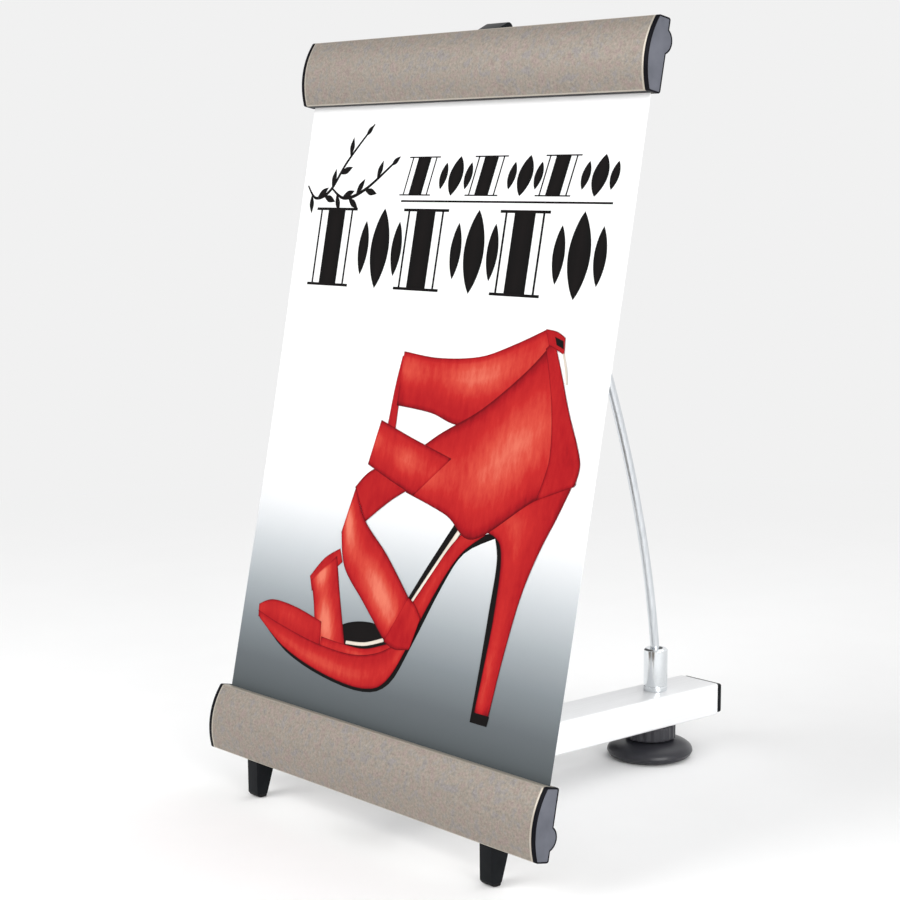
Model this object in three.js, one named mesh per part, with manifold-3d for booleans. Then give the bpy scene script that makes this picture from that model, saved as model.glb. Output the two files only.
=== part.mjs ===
// Table-top roll-up banner stand: a spring-roller cassette on two front feet, a banner with a top rail,
// a rear arm with a levelling foot, and a springy rod that holds the top rail up.
// Millimetres. X runs along the rails, +Y to the rear, +Z up; the table is z = 0.
import * as THREE from 'three';
import { mergeVertices } from 'three/addons/utils/BufferGeometryUtils.js';
import Module from 'manifold-3d';

const wasm = await Module();
wasm.setup();

const { degToRad } = THREE.MathUtils;

// ---------- driving dimensions ----------
const GAP = 0.3;                        // clearance between pieces that rest on each other

// The chassis is everything above the feet. It tips back a little on the rear foot.
const TILT = degToRad(0.85);

// Banner: an A3 sheet, 297 wide, with its ends inside the two rails.
const LEAN = degToRad(11);              // the banner leans back, measured from the chassis
const MOUTH_HEIGHT = 60.2;              // the edge of the cassette's mouth in the chassis
const BANNER_WIDTH = 297;
const BANNER_VISIBLE = 378.8;
const BANNER_THICKNESS = 0.25;
const BANNER_IN_TOP_RAIL = 16.5;

// Both rails are the same aluminium extrusion, seen from the end: "back" and "height from the mouth".
const RAIL_LENGTH = 300;
const RAIL_HEIGHT = 41.5;
const RAIL_WALL = 1.3;
const RAIL_FLOOR = 2.5;                 // the wall opposite the mouth, which the foot screws bite into
const RAIL_BACK = 3;                    // banner plane to the flat back
const FRONT_DEPTH = 11;                 // banner plane to the crown of the bowed front
const FRONT_RADIUS = 45.6;
const FRONT_CORNER = 2;
const BACK_CORNER = 1.5;
const MOUTH_WIDTH = 1.8;
const CHAMBER = { back: -0.9, height: 28.3, inner: 6.5, outer: 7.7 };

// End caps push into the extrusion.
const CAP_THICKNESS = 2.8;
const SPIGOT_DEPTH = 6;

// Spring roller.
const TUBE_OUTER = 4;
const TUBE_INNER = 3.2;
const ROLLER_LENGTH = 297.2;
const PLUG_RADIUS = 2.95;
const PLUG_LENGTH = 12;
const PIN_RADIUS = 1.25;
const WINDING_INNER = 4.15;
const WINDING_OUTER = 4.6;
const SPRING = { radius: 2.15, wire: 0.32, turns: 16, length: 66 };

// Front feet: narrow fins with an upright front, a rounded toe and a raked back.
const FOOT_SPACING = 220;
const FOOT_WIDTH = 10;
const FOOT_FRONT = -11.9;
const FOOT_HEEL = -4.9;                 // back of the foot on the table
const FOOT_RAKE = 0.33;                 // how far the back runs out for each step up
const FOOT_TOE = 3.5;
const FOOT_SOLE = 1.8;
const FOOT_SCREW_Y = -7.6;

// Rear arm: a rectangular tube plugged onto a bracket behind the cassette.
const ARM_WIDTH = 34.4;
const ARM_BOTTOM = 22.7;
const ARM_TOP = 44.4;
const ARM_WALL = 1.5;
const ARM_END = 287.3;
const ARM_CAP = 5;
const TONGUE_END = 46;
const FLANGE = { width: 56, back: 11, from: 13, to: 41 };
const TUBE_SCREW_Y = [22, 37];

// Rod socket, and the rear foot just in front of it.
const SOCKET_Y = 243.2;
const REAR_FOOT_Y = 238.5;
const SOCKET_RADIUS = 8;
const SOCKET_TOP = 73.4;
const SOCKET_BORE = 4.1;
const SOCKET_BORE_DEPTH = 18;
const STUD_RADIUS = 3.9;
const PAD_RADIUS = 28.8;
const PAD_TOP = 12.2;
const PAD_RIM = 4.2;                    // height of the pad's widest level
const HUB_RADIUS = 17.2;
const HUB_GAP = 0.6;

// Rod: bends like a beam that is held at the socket and pulled at its tip.
const ROD_RADIUS = 3;
const ROD_LENGTH = 430.3;               // free length above the socket
const ROD_SOCKET_ANGLE = degToRad(6.5);
const ROD_TIP_ANGLE = degToRad(27);
const ROD_IN_SOCKET = 16.8;

// Hanger clip on the back of the top rail, a blind cup for the rod's tip.
const CLIP_WIDTH = 19;
const CUP_HALF = 5.7;
const CUP_ROOF = 3;
const CUP_DEPTH = 11;

// ---------- materials ----------
const finish = (color, roughness, metalness) =>
  new THREE.MeshStandardMaterial({ color, roughness, metalness });
const ANODISED = finish(0xaca296, 0.42, 0.85);
const WHITE_ALUMINIUM = finish(0xd9dadb, 0.4, 0.6);
const CHROME = finish(0xb9c0c8, 0.14, 1);
const STEEL = finish(0x9a9ca0, 0.35, 1);
const BLACK_PLASTIC = finish(0x17171a, 0.38, 0);
const CAP_PLASTIC = finish(0x54585f, 0.5, 0);
const RUBBER = finish(0x0d0d0e, 0.8, 0);
const NYLON = finish(0xd8d6cf, 0.55, 0);
const FILM = finish(0xe9e9e8, 0.5, 0);

// ---------- solids ----------
// A closed geometry as a manifold solid, with the flat triangles at a turned profile's axis dropped.
function solidOf(geometry) {
  const bare = geometry.clone();
  bare.deleteAttribute('normal');
  bare.deleteAttribute('uv');
  const merged = mergeVertices(bare, 1e-5);
  const corners = [];
  for (let i = 0; i < merged.index.count; i += 3) {
    const [a, b, c] = [0, 1, 2].map((k) => merged.index.getX(i + k));
    if (a !== b && b !== c && c !== a) corners.push(a, b, c);
  }
  return new wasm.Manifold(new wasm.Mesh({
    numProp: 3,
    vertProperties: new Float32Array(merged.attributes.position.array),
    triVerts: new Uint32Array(corners),
  }));
}

function geometryOf(solid) {
  const mesh = solid.getMesh();
  const geometry = new THREE.BufferGeometry();
  geometry.setAttribute('position', new THREE.BufferAttribute(new Float32Array(mesh.vertProperties), 3));
  geometry.setIndex(new THREE.BufferAttribute(new Uint32Array(mesh.triVerts), 1));
  geometry.computeVertexNormals();
  return geometry;
}

const join = (first, ...others) =>
  geometryOf(others.reduce((sum, other) => sum.add(solidOf(other)), solidOf(first)));

const cut = (body, ...cutters) =>
  geometryOf(cutters.reduce((rest, cutter) => rest.subtract(solidOf(cutter)), solidOf(body)));

// ---------- shapes and placing ----------
const X = new THREE.Vector3(1, 0, 0);
const Y = new THREE.Vector3(0, 1, 0);
const Z = new THREE.Vector3(0, 0, 1);

// An outline of (y, z) points, drawn out along X and centred on x = 0.
function drawnAlongX(shape, length, options = {}) {
  const bevel = options.bevelSize ?? 0;
  const geometry = new THREE.ExtrudeGeometry(shape, {
    depth: length - 2 * bevel,
    bevelEnabled: bevel > 0,
    bevelThickness: bevel,
    bevelOffset: -bevel,
    bevelSegments: 2,
    curveSegments: 8,
    ...options,
  });
  geometry.translate(0, 0, bevel - length / 2);
  return geometry.applyMatrix4(new THREE.Matrix4().makeBasis(Y, Z, X));
}

// An outline of (x, z) points, drawn out along Y from one place to another.
function drawnAlongY(shape, from, to, options = {}) {
  const geometry = new THREE.ExtrudeGeometry(shape, {
    depth: to - from, bevelEnabled: false, curveSegments: 6, ...options,
  });
  geometry.applyMatrix4(new THREE.Matrix4().makeBasis(X, Z, Y.clone().negate()));
  return geometry.translate(0, to, 0);
}

function box(x, y, z) {
  const geometry = new THREE.BoxGeometry(x[1] - x[0], y[1] - y[0], z[1] - z[0]);
  return geometry.translate((x[0] + x[1]) / 2, (y[0] + y[1]) / 2, (z[0] + z[1]) / 2);
}

// A round bar along X between two places, its axis at (y, z).
function barAlongX(radius, from, to, y, z, sides = 24) {
  const geometry = new THREE.CylinderGeometry(radius, radius, to - from, sides);
  return geometry.rotateZ(-Math.PI / 2).translate((from + to) / 2, y, z);
}

// A round bar along Z between two heights, its axis at (x, y).
function barAlongZ(radius, from, to, x, y, sides = 24) {
  const geometry = new THREE.CylinderGeometry(radius, radius, to - from, sides);
  return geometry.rotateX(Math.PI / 2).translate(x, y, (from + to) / 2);
}

// A profile of (radius, height) points turned about the vertical line at (0, y).
function turnedAboutZ(points, y, segments = 28) {
  const profile = points.map(([radius, height]) => new THREE.Vector2(radius, height));
  return new THREE.LatheGeometry(profile, segments).rotateX(Math.PI / 2).translate(0, y, 0);
}

function roundedRectangle(width, bottom, top, corner) {
  const half = width / 2;
  const shape = new THREE.Shape();
  shape.moveTo(-half + corner, bottom);
  shape.lineTo(half - corner, bottom);
  shape.absarc(half - corner, bottom + corner, corner, -Math.PI / 2, 0, false);
  shape.lineTo(half, top - corner);
  shape.absarc(half - corner, top - corner, corner, 0, Math.PI / 2, false);
  shape.lineTo(-half + corner, top);
  shape.absarc(-half + corner, top - corner, corner, Math.PI / 2, Math.PI, false);
  shape.lineTo(-half, bottom + corner);
  shape.absarc(-half + corner, bottom + corner, corner, Math.PI, Math.PI * 1.5, false);
  return shape;
}

// A socket-head screw: the head's seat is at the origin and the shank points along `direction`.
function screw({ head, headHeight, shank, length, direction }) {
  const recess = head * 0.5;
  const profile = [
    [0, -headHeight + headHeight * 0.55], [recess, -headHeight + headHeight * 0.55],
    [recess, -headHeight], [head * 0.86, -headHeight], [head, -headHeight * 0.8], [head, 0],
    [shank, 0], [shank, length - shank * 0.6], [shank * 0.4, length], [0, length],
  ].map(([radius, height]) => new THREE.Vector2(radius, height));
  const turn = new THREE.Quaternion().setFromUnitVectors(Y, direction);
  return new THREE.LatheGeometry(profile, 12).applyQuaternion(turn);
}

function add(parent, name, geometry, material, position) {
  const mesh = new THREE.Mesh(geometry, material);
  mesh.name = name;
  if (position) mesh.position.copy(position);
  parent.add(mesh);
  return mesh;
}

// ---------- frames ----------
const stand = new THREE.Group();

// The chassis turns back about the point on the table under the rear foot.
const chassis = new THREE.Group();
chassis.rotation.x = -TILT;
chassis.position.set(0, REAR_FOOT_Y * (1 - Math.cos(TILT)), REAR_FOOT_Y * Math.sin(TILT));
stand.add(chassis);

// The leaning frame: x along the banner, y to its back, z up the banner from the cassette's mouth.
const leaning = new THREE.Group();
leaning.position.z = MOUTH_HEIGHT;
leaning.rotation.x = -LEAN;
chassis.add(leaning);

// Each rail frame has its mouth at the origin and z into the rail. The cassette's is turned over.
const cassette = new THREE.Group();
cassette.rotation.y = Math.PI;
leaning.add(cassette);

const topRail = new THREE.Group();
topRail.position.z = BANNER_VISIBLE;
leaning.add(topRail);
stand.updateMatrixWorld(true);

// A geometry drawn in one frame, carried over into another.
const carried = (geometry, from, to) =>
  geometry.applyMatrix4(to.matrixWorld.clone().invert().multiply(from.matrixWorld));

// ---------- rail extrusion ----------
const frontCentre = FRONT_RADIUS - FRONT_DEPTH;
const midHeight = RAIL_HEIGHT / 2;

// The angle on the bowed front, from its crown, at a height from the mouth.
const frontAngle = (height, radius) => Math.asin((height - midHeight) / radius);

// The outside of the section, from the mouth's front lip round to its back lip.
function traceOutside(path) {
  const edge = FRONT_RADIUS * Math.cos(frontAngle(FRONT_CORNER, FRONT_RADIUS));
  const front = frontCentre - edge;
  const bump = Math.acos((RAIL_BACK - CHAMBER.back) / CHAMBER.outer);
  path.moveTo(-MOUTH_WIDTH / 2, 0);
  path.lineTo(front + 2.6, 0);
  path.quadraticCurveTo(front + 0.8, 0, front, FRONT_CORNER);
  path.absarc(frontCentre, midHeight, FRONT_RADIUS,
    Math.PI - frontAngle(FRONT_CORNER, FRONT_RADIUS), Math.PI + frontAngle(FRONT_CORNER, FRONT_RADIUS), true);
  path.quadraticCurveTo(front + 0.8, RAIL_HEIGHT, front + 2.6, RAIL_HEIGHT);
  path.lineTo(RAIL_BACK - BACK_CORNER, RAIL_HEIGHT);
  path.quadraticCurveTo(RAIL_BACK, RAIL_HEIGHT, RAIL_BACK, RAIL_HEIGHT - BACK_CORNER);
  path.absarc(CHAMBER.back, CHAMBER.height, CHAMBER.outer, bump, -bump, true);
  path.lineTo(RAIL_BACK, BACK_CORNER);
  path.quadraticCurveTo(RAIL_BACK, 0, RAIL_BACK - BACK_CORNER, 0);
  path.lineTo(MOUTH_WIDTH / 2, 0);
}

// The inside, from the mouth's back lip round the roller chamber and the bowed front to its front lip.
function traceInside(path) {
  const back = RAIL_BACK - RAIL_WALL;
  const radius = FRONT_RADIUS - RAIL_WALL;
  const lip = FRONT_CORNER;
  const floor = RAIL_HEIGHT - RAIL_FLOOR;
  const chamber = Math.acos((back - CHAMBER.back) / CHAMBER.inner);
  path.lineTo(MOUTH_WIDTH / 2, lip);
  path.lineTo(back, lip);
  path.absarc(CHAMBER.back, CHAMBER.height, CHAMBER.inner, -chamber, chamber, false);
  path.lineTo(back, floor);
  path.absarc(frontCentre, midHeight, radius,
    Math.PI - frontAngle(floor, radius), Math.PI - frontAngle(lip, radius), false);
  path.lineTo(-MOUTH_WIDTH / 2, lip);
}

function railShell() {
  const section = new THREE.Shape();
  traceOutside(section);
  traceInside(section);
  section.closePath();
  return drawnAlongX(section, RAIL_LENGTH);
}

// One end cap: a plate with the section's outline and two spigots that push into the extrusion.
function railCap(side) {
  const outline = new THREE.Shape();
  traceOutside(outline);
  outline.closePath();
  const face = RAIL_LENGTH / 2 + 0.1;
  const plate = drawnAlongX(outline, CAP_THICKNESS).translate(side * (face + CAP_THICKNESS / 2), 0, 0);
  const reach = [side * (face - SPIGOT_DEPTH), side * (face + CAP_THICKNESS / 2)].sort((a, b) => a - b);
  const upper = box(reach, [-5.2, -2.6], [3, 11]);
  const lower = box(reach, [-5, 1.3], [36.8, RAIL_HEIGHT - RAIL_FLOOR - GAP]);
  return join(plate, upper, lower);
}

const pinHole = (side, radius) => {
  const [from, to] = [side * 149, side * (RAIL_LENGTH / 2 + CAP_THICKNESS * 0.6)].sort((a, b) => a - b);
  return barAlongX(radius, from, to, CHAMBER.back, CHAMBER.height, 24);
};

// ---------- cassette ----------
const FLANGE_SCREW_X = 22.5;
const FLANGE_SCREW_HEIGHTS = [17, 38];
const footPositions = [['left', -FOOT_SPACING / 2], ['right', FOOT_SPACING / 2]];

function buildCassette() {
  const holes = footPositions.map(([, x]) =>
    carried(barAlongZ(1.5, 15, 30, x, FOOT_SCREW_Y, 16), stand, cassette));
  for (const x of [-FLANGE_SCREW_X, FLANGE_SCREW_X]) {
    for (const height of FLANGE_SCREW_HEIGHTS) {
      const hole = new THREE.CylinderGeometry(1.6, 1.6, 4, 12);
      holes.push(hole.translate(x, RAIL_BACK, height));
    }
  }
  add(cassette, 'cassette_shell', cut(railShell(), ...holes), ANODISED);
  add(cassette, 'cassette_cap_left', cut(railCap(1), pinHole(1, PIN_RADIUS + 0.1)), CAP_PLASTIC);
  add(cassette, 'cassette_cap_right', cut(railCap(-1), pinHole(-1, PIN_RADIUS + 0.1)), CAP_PLASTIC);

  const reach = RAIL_LENGTH / 2 + CAP_THICKNESS * 0.5;
  const idlePin = barAlongX(PIN_RADIUS, 138, reach, CHAMBER.back, CHAMBER.height, 20);
  const springAxle = barAlongX(PIN_RADIUS, -reach, -64, CHAMBER.back, CHAMBER.height, 20);
  add(cassette, 'idle_pin', idlePin, STEEL);
  add(cassette, 'spring_axle', springAxle, STEEL);
}

// ---------- spring roller ----------
// A ring or tube along X, turned about the roller's axis in the cassette frame.
function ringAlongX(inner, outer, from, to, segments = 24) {
  const profile = [[inner, from], [outer, from], [outer, to], [inner, to], [inner, from]];
  const points = profile.map(([radius, height]) => new THREE.Vector2(radius, height));
  return new THREE.LatheGeometry(points, segments).rotateZ(-Math.PI / 2)
    .translate(0, CHAMBER.back, CHAMBER.height);
}

class Helix extends THREE.Curve {
  constructor({ radius, turns, length }) {
    super();
    Object.assign(this, { radius, turns, length });
  }

  getPoint(t, target = new THREE.Vector3()) {
    const angle = t * this.turns * 2 * Math.PI;
    return target.set((t - 0.5) * this.length, this.radius * Math.cos(angle), this.radius * Math.sin(angle));
  }
}

function rollerSpring() {
  const wire = new THREE.Shape();
  wire.absarc(0, 0, SPRING.wire, 0, 2 * Math.PI, false);
  const coil = new THREE.ExtrudeGeometry(wire, {
    extrudePath: new Helix(SPRING), steps: SPRING.turns * 8, curveSegments: 2, bevelEnabled: false,
  });
  return coil.translate(-100, CHAMBER.back, CHAMBER.height);
}

function buildRoller() {
  const half = ROLLER_LENGTH / 2;
  const bore = PIN_RADIUS + 0.15;
  add(cassette, 'roller_tube', ringAlongX(TUBE_INNER, TUBE_OUTER, -half, half), STEEL);
  add(cassette, 'idle_plug', ringAlongX(bore, PLUG_RADIUS, half - PLUG_LENGTH, half, 24), NYLON);
  add(cassette, 'spring_bush', ringAlongX(bore, PLUG_RADIUS, -half, -half + PLUG_LENGTH, 24), NYLON);
  add(cassette, 'spring_plug', barAlongX(PLUG_RADIUS, -62, -50, CHAMBER.back, CHAMBER.height, 24), NYLON);
  add(cassette, 'roller_spring', rollerSpring(), STEEL);
  add(cassette, 'banner_winding',
    ringAlongX(WINDING_INNER, WINDING_OUTER, -BANNER_WIDTH / 2, BANNER_WIDTH / 2, 40), FILM);
}

// ---------- banner ----------
// The film runs straight from the top rail to the mouth, then to the front of the winding.
function bannerSheet() {
  const from = new THREE.Vector2(0, -3);
  const centre = new THREE.Vector2(CHAMBER.back, -CHAMBER.height);
  const radius = WINDING_OUTER + GAP + BANNER_THICKNESS;
  const toMouth = from.clone().sub(centre);
  const turn = toMouth.angle() + Math.acos(radius / toMouth.length());
  const touch = new THREE.Vector2(Math.cos(turn), Math.sin(turn)).multiplyScalar(radius).add(centre);
  const half = BANNER_THICKNESS / 2;
  const top = BANNER_VISIBLE + BANNER_IN_TOP_RAIL;
  const section = new THREE.Shape();
  section.moveTo(-half, top);
  section.lineTo(-half, from.y);
  section.lineTo(touch.x - half, touch.y);
  section.lineTo(touch.x + half, touch.y);
  section.lineTo(half, from.y);
  section.lineTo(half, top);
  section.closePath();
  return drawnAlongX(section, BANNER_WIDTH);
}

// ---------- top rail ----------
// The gripper strip on the film's top edge is wider than the mouth, so the rail holds it.
function gripperStrip() {
  const slot = 0.35;
  const [front, back, bottom, top] = [-3.6, 1.4, 2.4, 18.5];
  const section = new THREE.Shape();
  section.moveTo(front, bottom);
  section.lineTo(-slot, bottom);
  section.lineTo(-slot, BANNER_IN_TOP_RAIL + GAP);
  section.lineTo(slot, BANNER_IN_TOP_RAIL + GAP);
  section.lineTo(slot, bottom);
  section.lineTo(back, bottom);
  section.lineTo(back, top);
  section.lineTo(front, top);
  section.closePath();
  return drawnAlongX(section, 2 * (RAIL_LENGTH / 2 - SPIGOT_DEPTH - 1));
}

const CLIP_BACK = 12.5;
const CLIP_SCREW_X = 6;

function hangerClip(rod) {
  const [tip, below] = [1, 0.98].map((t) => topRail.worldToLocal(chassis.localToWorld(rod.getPoint(t))));
  const along = new THREE.Vector2(tip.y - below.y, tip.z - below.z).normalize();
  const at = (up, out) => [tip.y + along.x * up + along.y * out, tip.z + along.y * up - along.x * out];
  const front = RAIL_BACK + GAP;
  const section = new THREE.Shape();
  section.moveTo(front, 14);
  section.lineTo(front, RAIL_HEIGHT - 1);
  section.lineTo(...at(CUP_ROOF, -CUP_HALF));
  section.lineTo(...at(CUP_ROOF, CUP_HALF - 3));
  section.quadraticCurveTo(...at(CUP_ROOF, CUP_HALF), ...at(CUP_ROOF - 3, CUP_HALF));
  section.lineTo(...at(-CUP_DEPTH, CUP_HALF));
  section.lineTo(...at(-CUP_DEPTH, -CUP_HALF));
  section.lineTo(CLIP_BACK, 31.8);
  section.lineTo(CLIP_BACK, 21.5);
  section.lineTo(7.5, 14);
  section.closePath();
  const body = drawnAlongX(section, CLIP_WIDTH, { bevelSize: 1 });

  const bump = barAlongX(CHAMBER.outer + GAP, -20, 20, CHAMBER.back, CHAMBER.height, 36);
  const backWall = box([-20, 20], [RAIL_BACK - 5, front], [0, RAIL_HEIGHT]);
  const cupLength = CUP_DEPTH + 6;
  const cup = new THREE.CylinderGeometry(ROD_RADIUS + 0.5, ROD_RADIUS + 0.5, cupLength, 32);
  const direction = new THREE.Vector3(0, along.x, along.y);
  cup.applyQuaternion(new THREE.Quaternion().setFromUnitVectors(Y, direction));
  cup.translate(0, tip.y, tip.z);
  cup.translate(0, along.x * (0.6 - cupLength / 2), along.y * (0.6 - cupLength / 2));
  const holes = [-CLIP_SCREW_X, CLIP_SCREW_X].map((x) =>
    new THREE.CylinderGeometry(1.6, 1.6, 30, 12).translate(x, CLIP_BACK, CHAMBER.height));
  return cut(body, bump, backWall, cup, ...holes);
}

function buildTopRail(rod) {
  const holes = [-CLIP_SCREW_X, CLIP_SCREW_X].map((x) =>
    new THREE.CylinderGeometry(1.6, 1.6, 6, 12).translate(x, CHAMBER.back + CHAMBER.outer, CHAMBER.height));
  add(topRail, 'top_rail_shell', cut(railShell(), ...holes), ANODISED);
  add(topRail, 'top_cap_left', railCap(-1), CAP_PLASTIC);
  add(topRail, 'top_cap_right', railCap(1), CAP_PLASTIC);
  add(topRail, 'gripper_strip', gripperStrip(), BLACK_PLASTIC);
  add(topRail, 'hanger_clip', hangerClip(rod), BLACK_PLASTIC);
  const direction = Y.clone().negate();
  for (const [side, x] of [['left', -CLIP_SCREW_X], ['right', CLIP_SCREW_X]]) {
    const geometry = screw({ head: 2.5, headHeight: 1.8, shank: 1.4, length: 8.2, direction });
    add(topRail, `hanger_screw_${side}`, geometry, STEEL,
      new THREE.Vector3(x, CLIP_BACK + GAP, CHAMBER.height));
  }
}

// ---------- front feet ----------
// The (y, z) profile of the foot between two heights, with the toe's arc where it is below the front.
function footProfile(bottom, top) {
  const toe = FOOT_FRONT + FOOT_TOE;
  const toeAngle = (height) => Math.PI + Math.asin(Math.max(0, (FOOT_TOE - height) / FOOT_TOE));
  const back = (height) => FOOT_HEEL + FOOT_RAKE * height;
  const profile = new THREE.Shape();
  profile.moveTo(back(bottom), bottom);
  profile.lineTo(back(top), top);
  if (top > FOOT_TOE) profile.lineTo(FOOT_FRONT, top);
  profile.absarc(toe, FOOT_TOE, FOOT_TOE, toeAngle(top), toeAngle(bottom), false);
  profile.closePath();
  return profile;
}

// A fin that is cut off under the leaning cassette, with a screw up its middle.
function frontFoot(x) {
  const fin = drawnAlongX(footProfile(FOOT_SOLE, 28), FOOT_WIDTH).translate(x, 0, 0);
  const above = carried(box([-160, 160], [-40, 40], [0, RAIL_HEIGHT + GAP]), cassette, stand);
  const headRoom = barAlongZ(2.3, 0, 5.3, x, FOOT_SCREW_Y, 20);
  const bore = barAlongZ(1.7, 4, 30, x, FOOT_SCREW_Y, 16);
  return cut(fin, above, headRoom, bore);
}

function buildFrontFeet() {
  for (const [side, x] of footPositions) {
    add(stand, `front_foot_${side}`, frontFoot(x), BLACK_PLASTIC);
    const fixing = screw({ head: 2, headHeight: 1.6, shank: 1.35, length: 20.5, direction: Z });
    add(stand, `foot_screw_${side}`, fixing, STEEL, new THREE.Vector3(x, FOOT_SCREW_Y, 5));
    const sole = drawnAlongX(footProfile(0, FOOT_SOLE - 0.1), FOOT_WIDTH - 0.8).translate(x, 0, 0);
    add(stand, `foot_pad_${side}`, sole, RUBBER);
  }
}

// ---------- rear arm ----------
// A flange that seats on the cassette's back and its bump, with a hollow tongue for the tube.
function armBracket() {
  const inside = ARM_WALL + GAP;
  const half = ARM_WIDTH / 2 - inside;
  const [bottom, top] = [ARM_BOTTOM + inside, ARM_TOP - inside];
  const tongue = box([-half, half], [4, TONGUE_END], [bottom, top]);
  const flange = box([-FLANGE.width / 2, FLANGE.width / 2], [RAIL_BACK + GAP, FLANGE.back],
    [FLANGE.from, FLANGE.to]);
  const body = join(carried(flange, cassette, chassis), tongue);
  const seat = carried(box([-40, 40], [-20, RAIL_BACK + GAP], [0, 60]), cassette, chassis);
  const bump = carried(barAlongX(CHAMBER.outer + GAP, -40, 40, CHAMBER.back, CHAMBER.height, 36),
    cassette, chassis);
  const hollow = box([-half + 3, half - 3], [16, TONGUE_END + 1], [bottom + 6, top - 3]);
  const holes = TUBE_SCREW_Y.map((y) => barAlongZ(1.9, bottom - 1, bottom + 7, 0, y, 16));
  for (const x of [-FLANGE_SCREW_X, FLANGE_SCREW_X]) {
    for (const height of FLANGE_SCREW_HEIGHTS) {
      const hole = new THREE.CylinderGeometry(1.7, 1.7, 30, 12).translate(x, 8, height);
      holes.push(carried(hole, cassette, chassis));
    }
  }
  return cut(body, seat, bump, hollow, ...holes);
}

function armTube() {
  const section = roundedRectangle(ARM_WIDTH, ARM_BOTTOM, ARM_TOP, 1.6);
  const [floor, ceiling] = [ARM_BOTTOM + ARM_WALL, ARM_TOP - ARM_WALL];
  section.holes.push(roundedRectangle(ARM_WIDTH - 2 * ARM_WALL, floor, ceiling, 0.4));
  const tube = drawnAlongY(section, 0, ARM_END, { curveSegments: 4 });
  const mitre = carried(box([-40, 40], [-40, FLANGE.back + GAP], [-40, 80]), cassette, chassis);
  const studHole = barAlongZ(STUD_RADIUS + 0.5, ARM_BOTTOM - 1, ARM_BOTTOM + 4, 0, REAR_FOOT_Y);
  const spigotHole = barAlongZ(STUD_RADIUS + 0.3, ARM_TOP - 4, ARM_TOP + 1, 0, SOCKET_Y);
  const screwHoles = TUBE_SCREW_Y.map((y) => barAlongZ(2.1, ARM_BOTTOM - 1, ARM_BOTTOM + 4, 0, y, 16));
  return cut(tube, mitre, studHole, spigotHole, ...screwHoles);
}

function armEndCap() {
  const outline = (inset) =>
    roundedRectangle(ARM_WIDTH - 2 * inset, ARM_BOTTOM + inset, ARM_TOP - inset, 1.6);
  const options = { curveSegments: 4 };
  const plate = drawnAlongY(outline(0.9), ARM_END + 0.1, ARM_END + ARM_CAP - 1, options);
  const crown = drawnAlongY(outline(1.9), ARM_END + ARM_CAP - 2, ARM_END + ARM_CAP, options);
  const inside = ARM_WALL + GAP;
  const half = ARM_WIDTH / 2 - inside;
  const plug = box([-half, half], [ARM_END - 12, ARM_END + 1], [ARM_BOTTOM + inside, ARM_TOP - inside]);
  const hollow = box([-half + 2, half - 2], [ARM_END - 13, ARM_END - 1],
    [ARM_BOTTOM + inside + 2, ARM_TOP - inside - 2]);
  return cut(join(plate, crown, plug), hollow);
}

function buildArm() {
  add(chassis, 'arm_bracket', armBracket(), BLACK_PLASTIC);
  add(chassis, 'arm_tube', armTube(), WHITE_ALUMINIUM);
  add(chassis, 'arm_end_cap', armEndCap(), BLACK_PLASTIC);
  TUBE_SCREW_Y.forEach((y, index) => {
    const geometry = screw({ head: 3.6, headHeight: 2, shank: 1.8, length: 7, direction: Z });
    add(chassis, `tube_screw_${index + 1}`, geometry, STEEL, new THREE.Vector3(0, y, ARM_BOTTOM - 0.1));
  });
  const direction = Y.clone().negate();
  const places = [['left', FLANGE_SCREW_X], ['right', -FLANGE_SCREW_X]];
  for (const [side, x] of places) {
    FLANGE_SCREW_HEIGHTS.forEach((height, index) => {
      const geometry = screw({ head: 2.8, headHeight: 2.4, shank: 1.4, length: 10.4, direction });
      add(cassette, `flange_screw_${side}_${index + 1}`, geometry, STEEL,
        new THREE.Vector3(x, FLANGE.back + GAP, height));
    });
  }
}

// ---------- rod socket, rod and rear foot ----------
function rodSocket() {
  const mouth = SOCKET_TOP;
  return turnedAboutZ([
    [0, ARM_TOP - 5.6], [STUD_RADIUS - 0.6, ARM_TOP - 5.6], [STUD_RADIUS, ARM_TOP - 5],
    [STUD_RADIUS, ARM_TOP + 0.1],
    [SOCKET_RADIUS, ARM_TOP + 0.1], [SOCKET_RADIUS, mouth - 1], [SOCKET_RADIUS - 1, mouth],
    [SOCKET_BORE + 0.5, mouth], [SOCKET_BORE, mouth - 0.5], [SOCKET_BORE, mouth - SOCKET_BORE_DEPTH],
    [0, mouth - SOCKET_BORE_DEPTH],
  ], SOCKET_Y);
}

// The rod's centre line. Its slope grows fast at the socket and settles towards the tip, as a bent
// beam's does. t = 0 is the rod's foot inside the socket.
class BentRod extends THREE.Curve {
  getPoint(t, target = new THREE.Vector3()) {
    const travelled = t * (ROD_IN_SOCKET + ROD_LENGTH);
    const middle = ROD_IN_SOCKET / 2;
    const straight = Math.min(travelled, ROD_IN_SOCKET) - middle;
    target.set(0, SOCKET_Y - straight * Math.sin(ROD_SOCKET_ANGLE),
      SOCKET_TOP - middle + straight * Math.cos(ROD_SOCKET_ANGLE));
    const free = Math.max(travelled - ROD_IN_SOCKET, 0);
    const steps = 60;
    const step = free / steps;
    for (let i = 0; i < steps; i += 1) {
      const share = ((i + 0.5) * step) / ROD_LENGTH;
      const angle = ROD_SOCKET_ANGLE + (ROD_TIP_ANGLE - ROD_SOCKET_ANGLE) * (2 * share - share * share);
      target.y -= Math.sin(angle) * step;
      target.z += Math.cos(angle) * step;
    }
    return target;
  }
}

function flexRod(rod) {
  const round = new THREE.Shape();
  round.absarc(0, 0, ROD_RADIUS, 0, 2 * Math.PI, false);
  return new THREE.ExtrudeGeometry(round, {
    extrudePath: rod, steps: 32, curveSegments: 6, bevelEnabled: false,
  });
}

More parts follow.
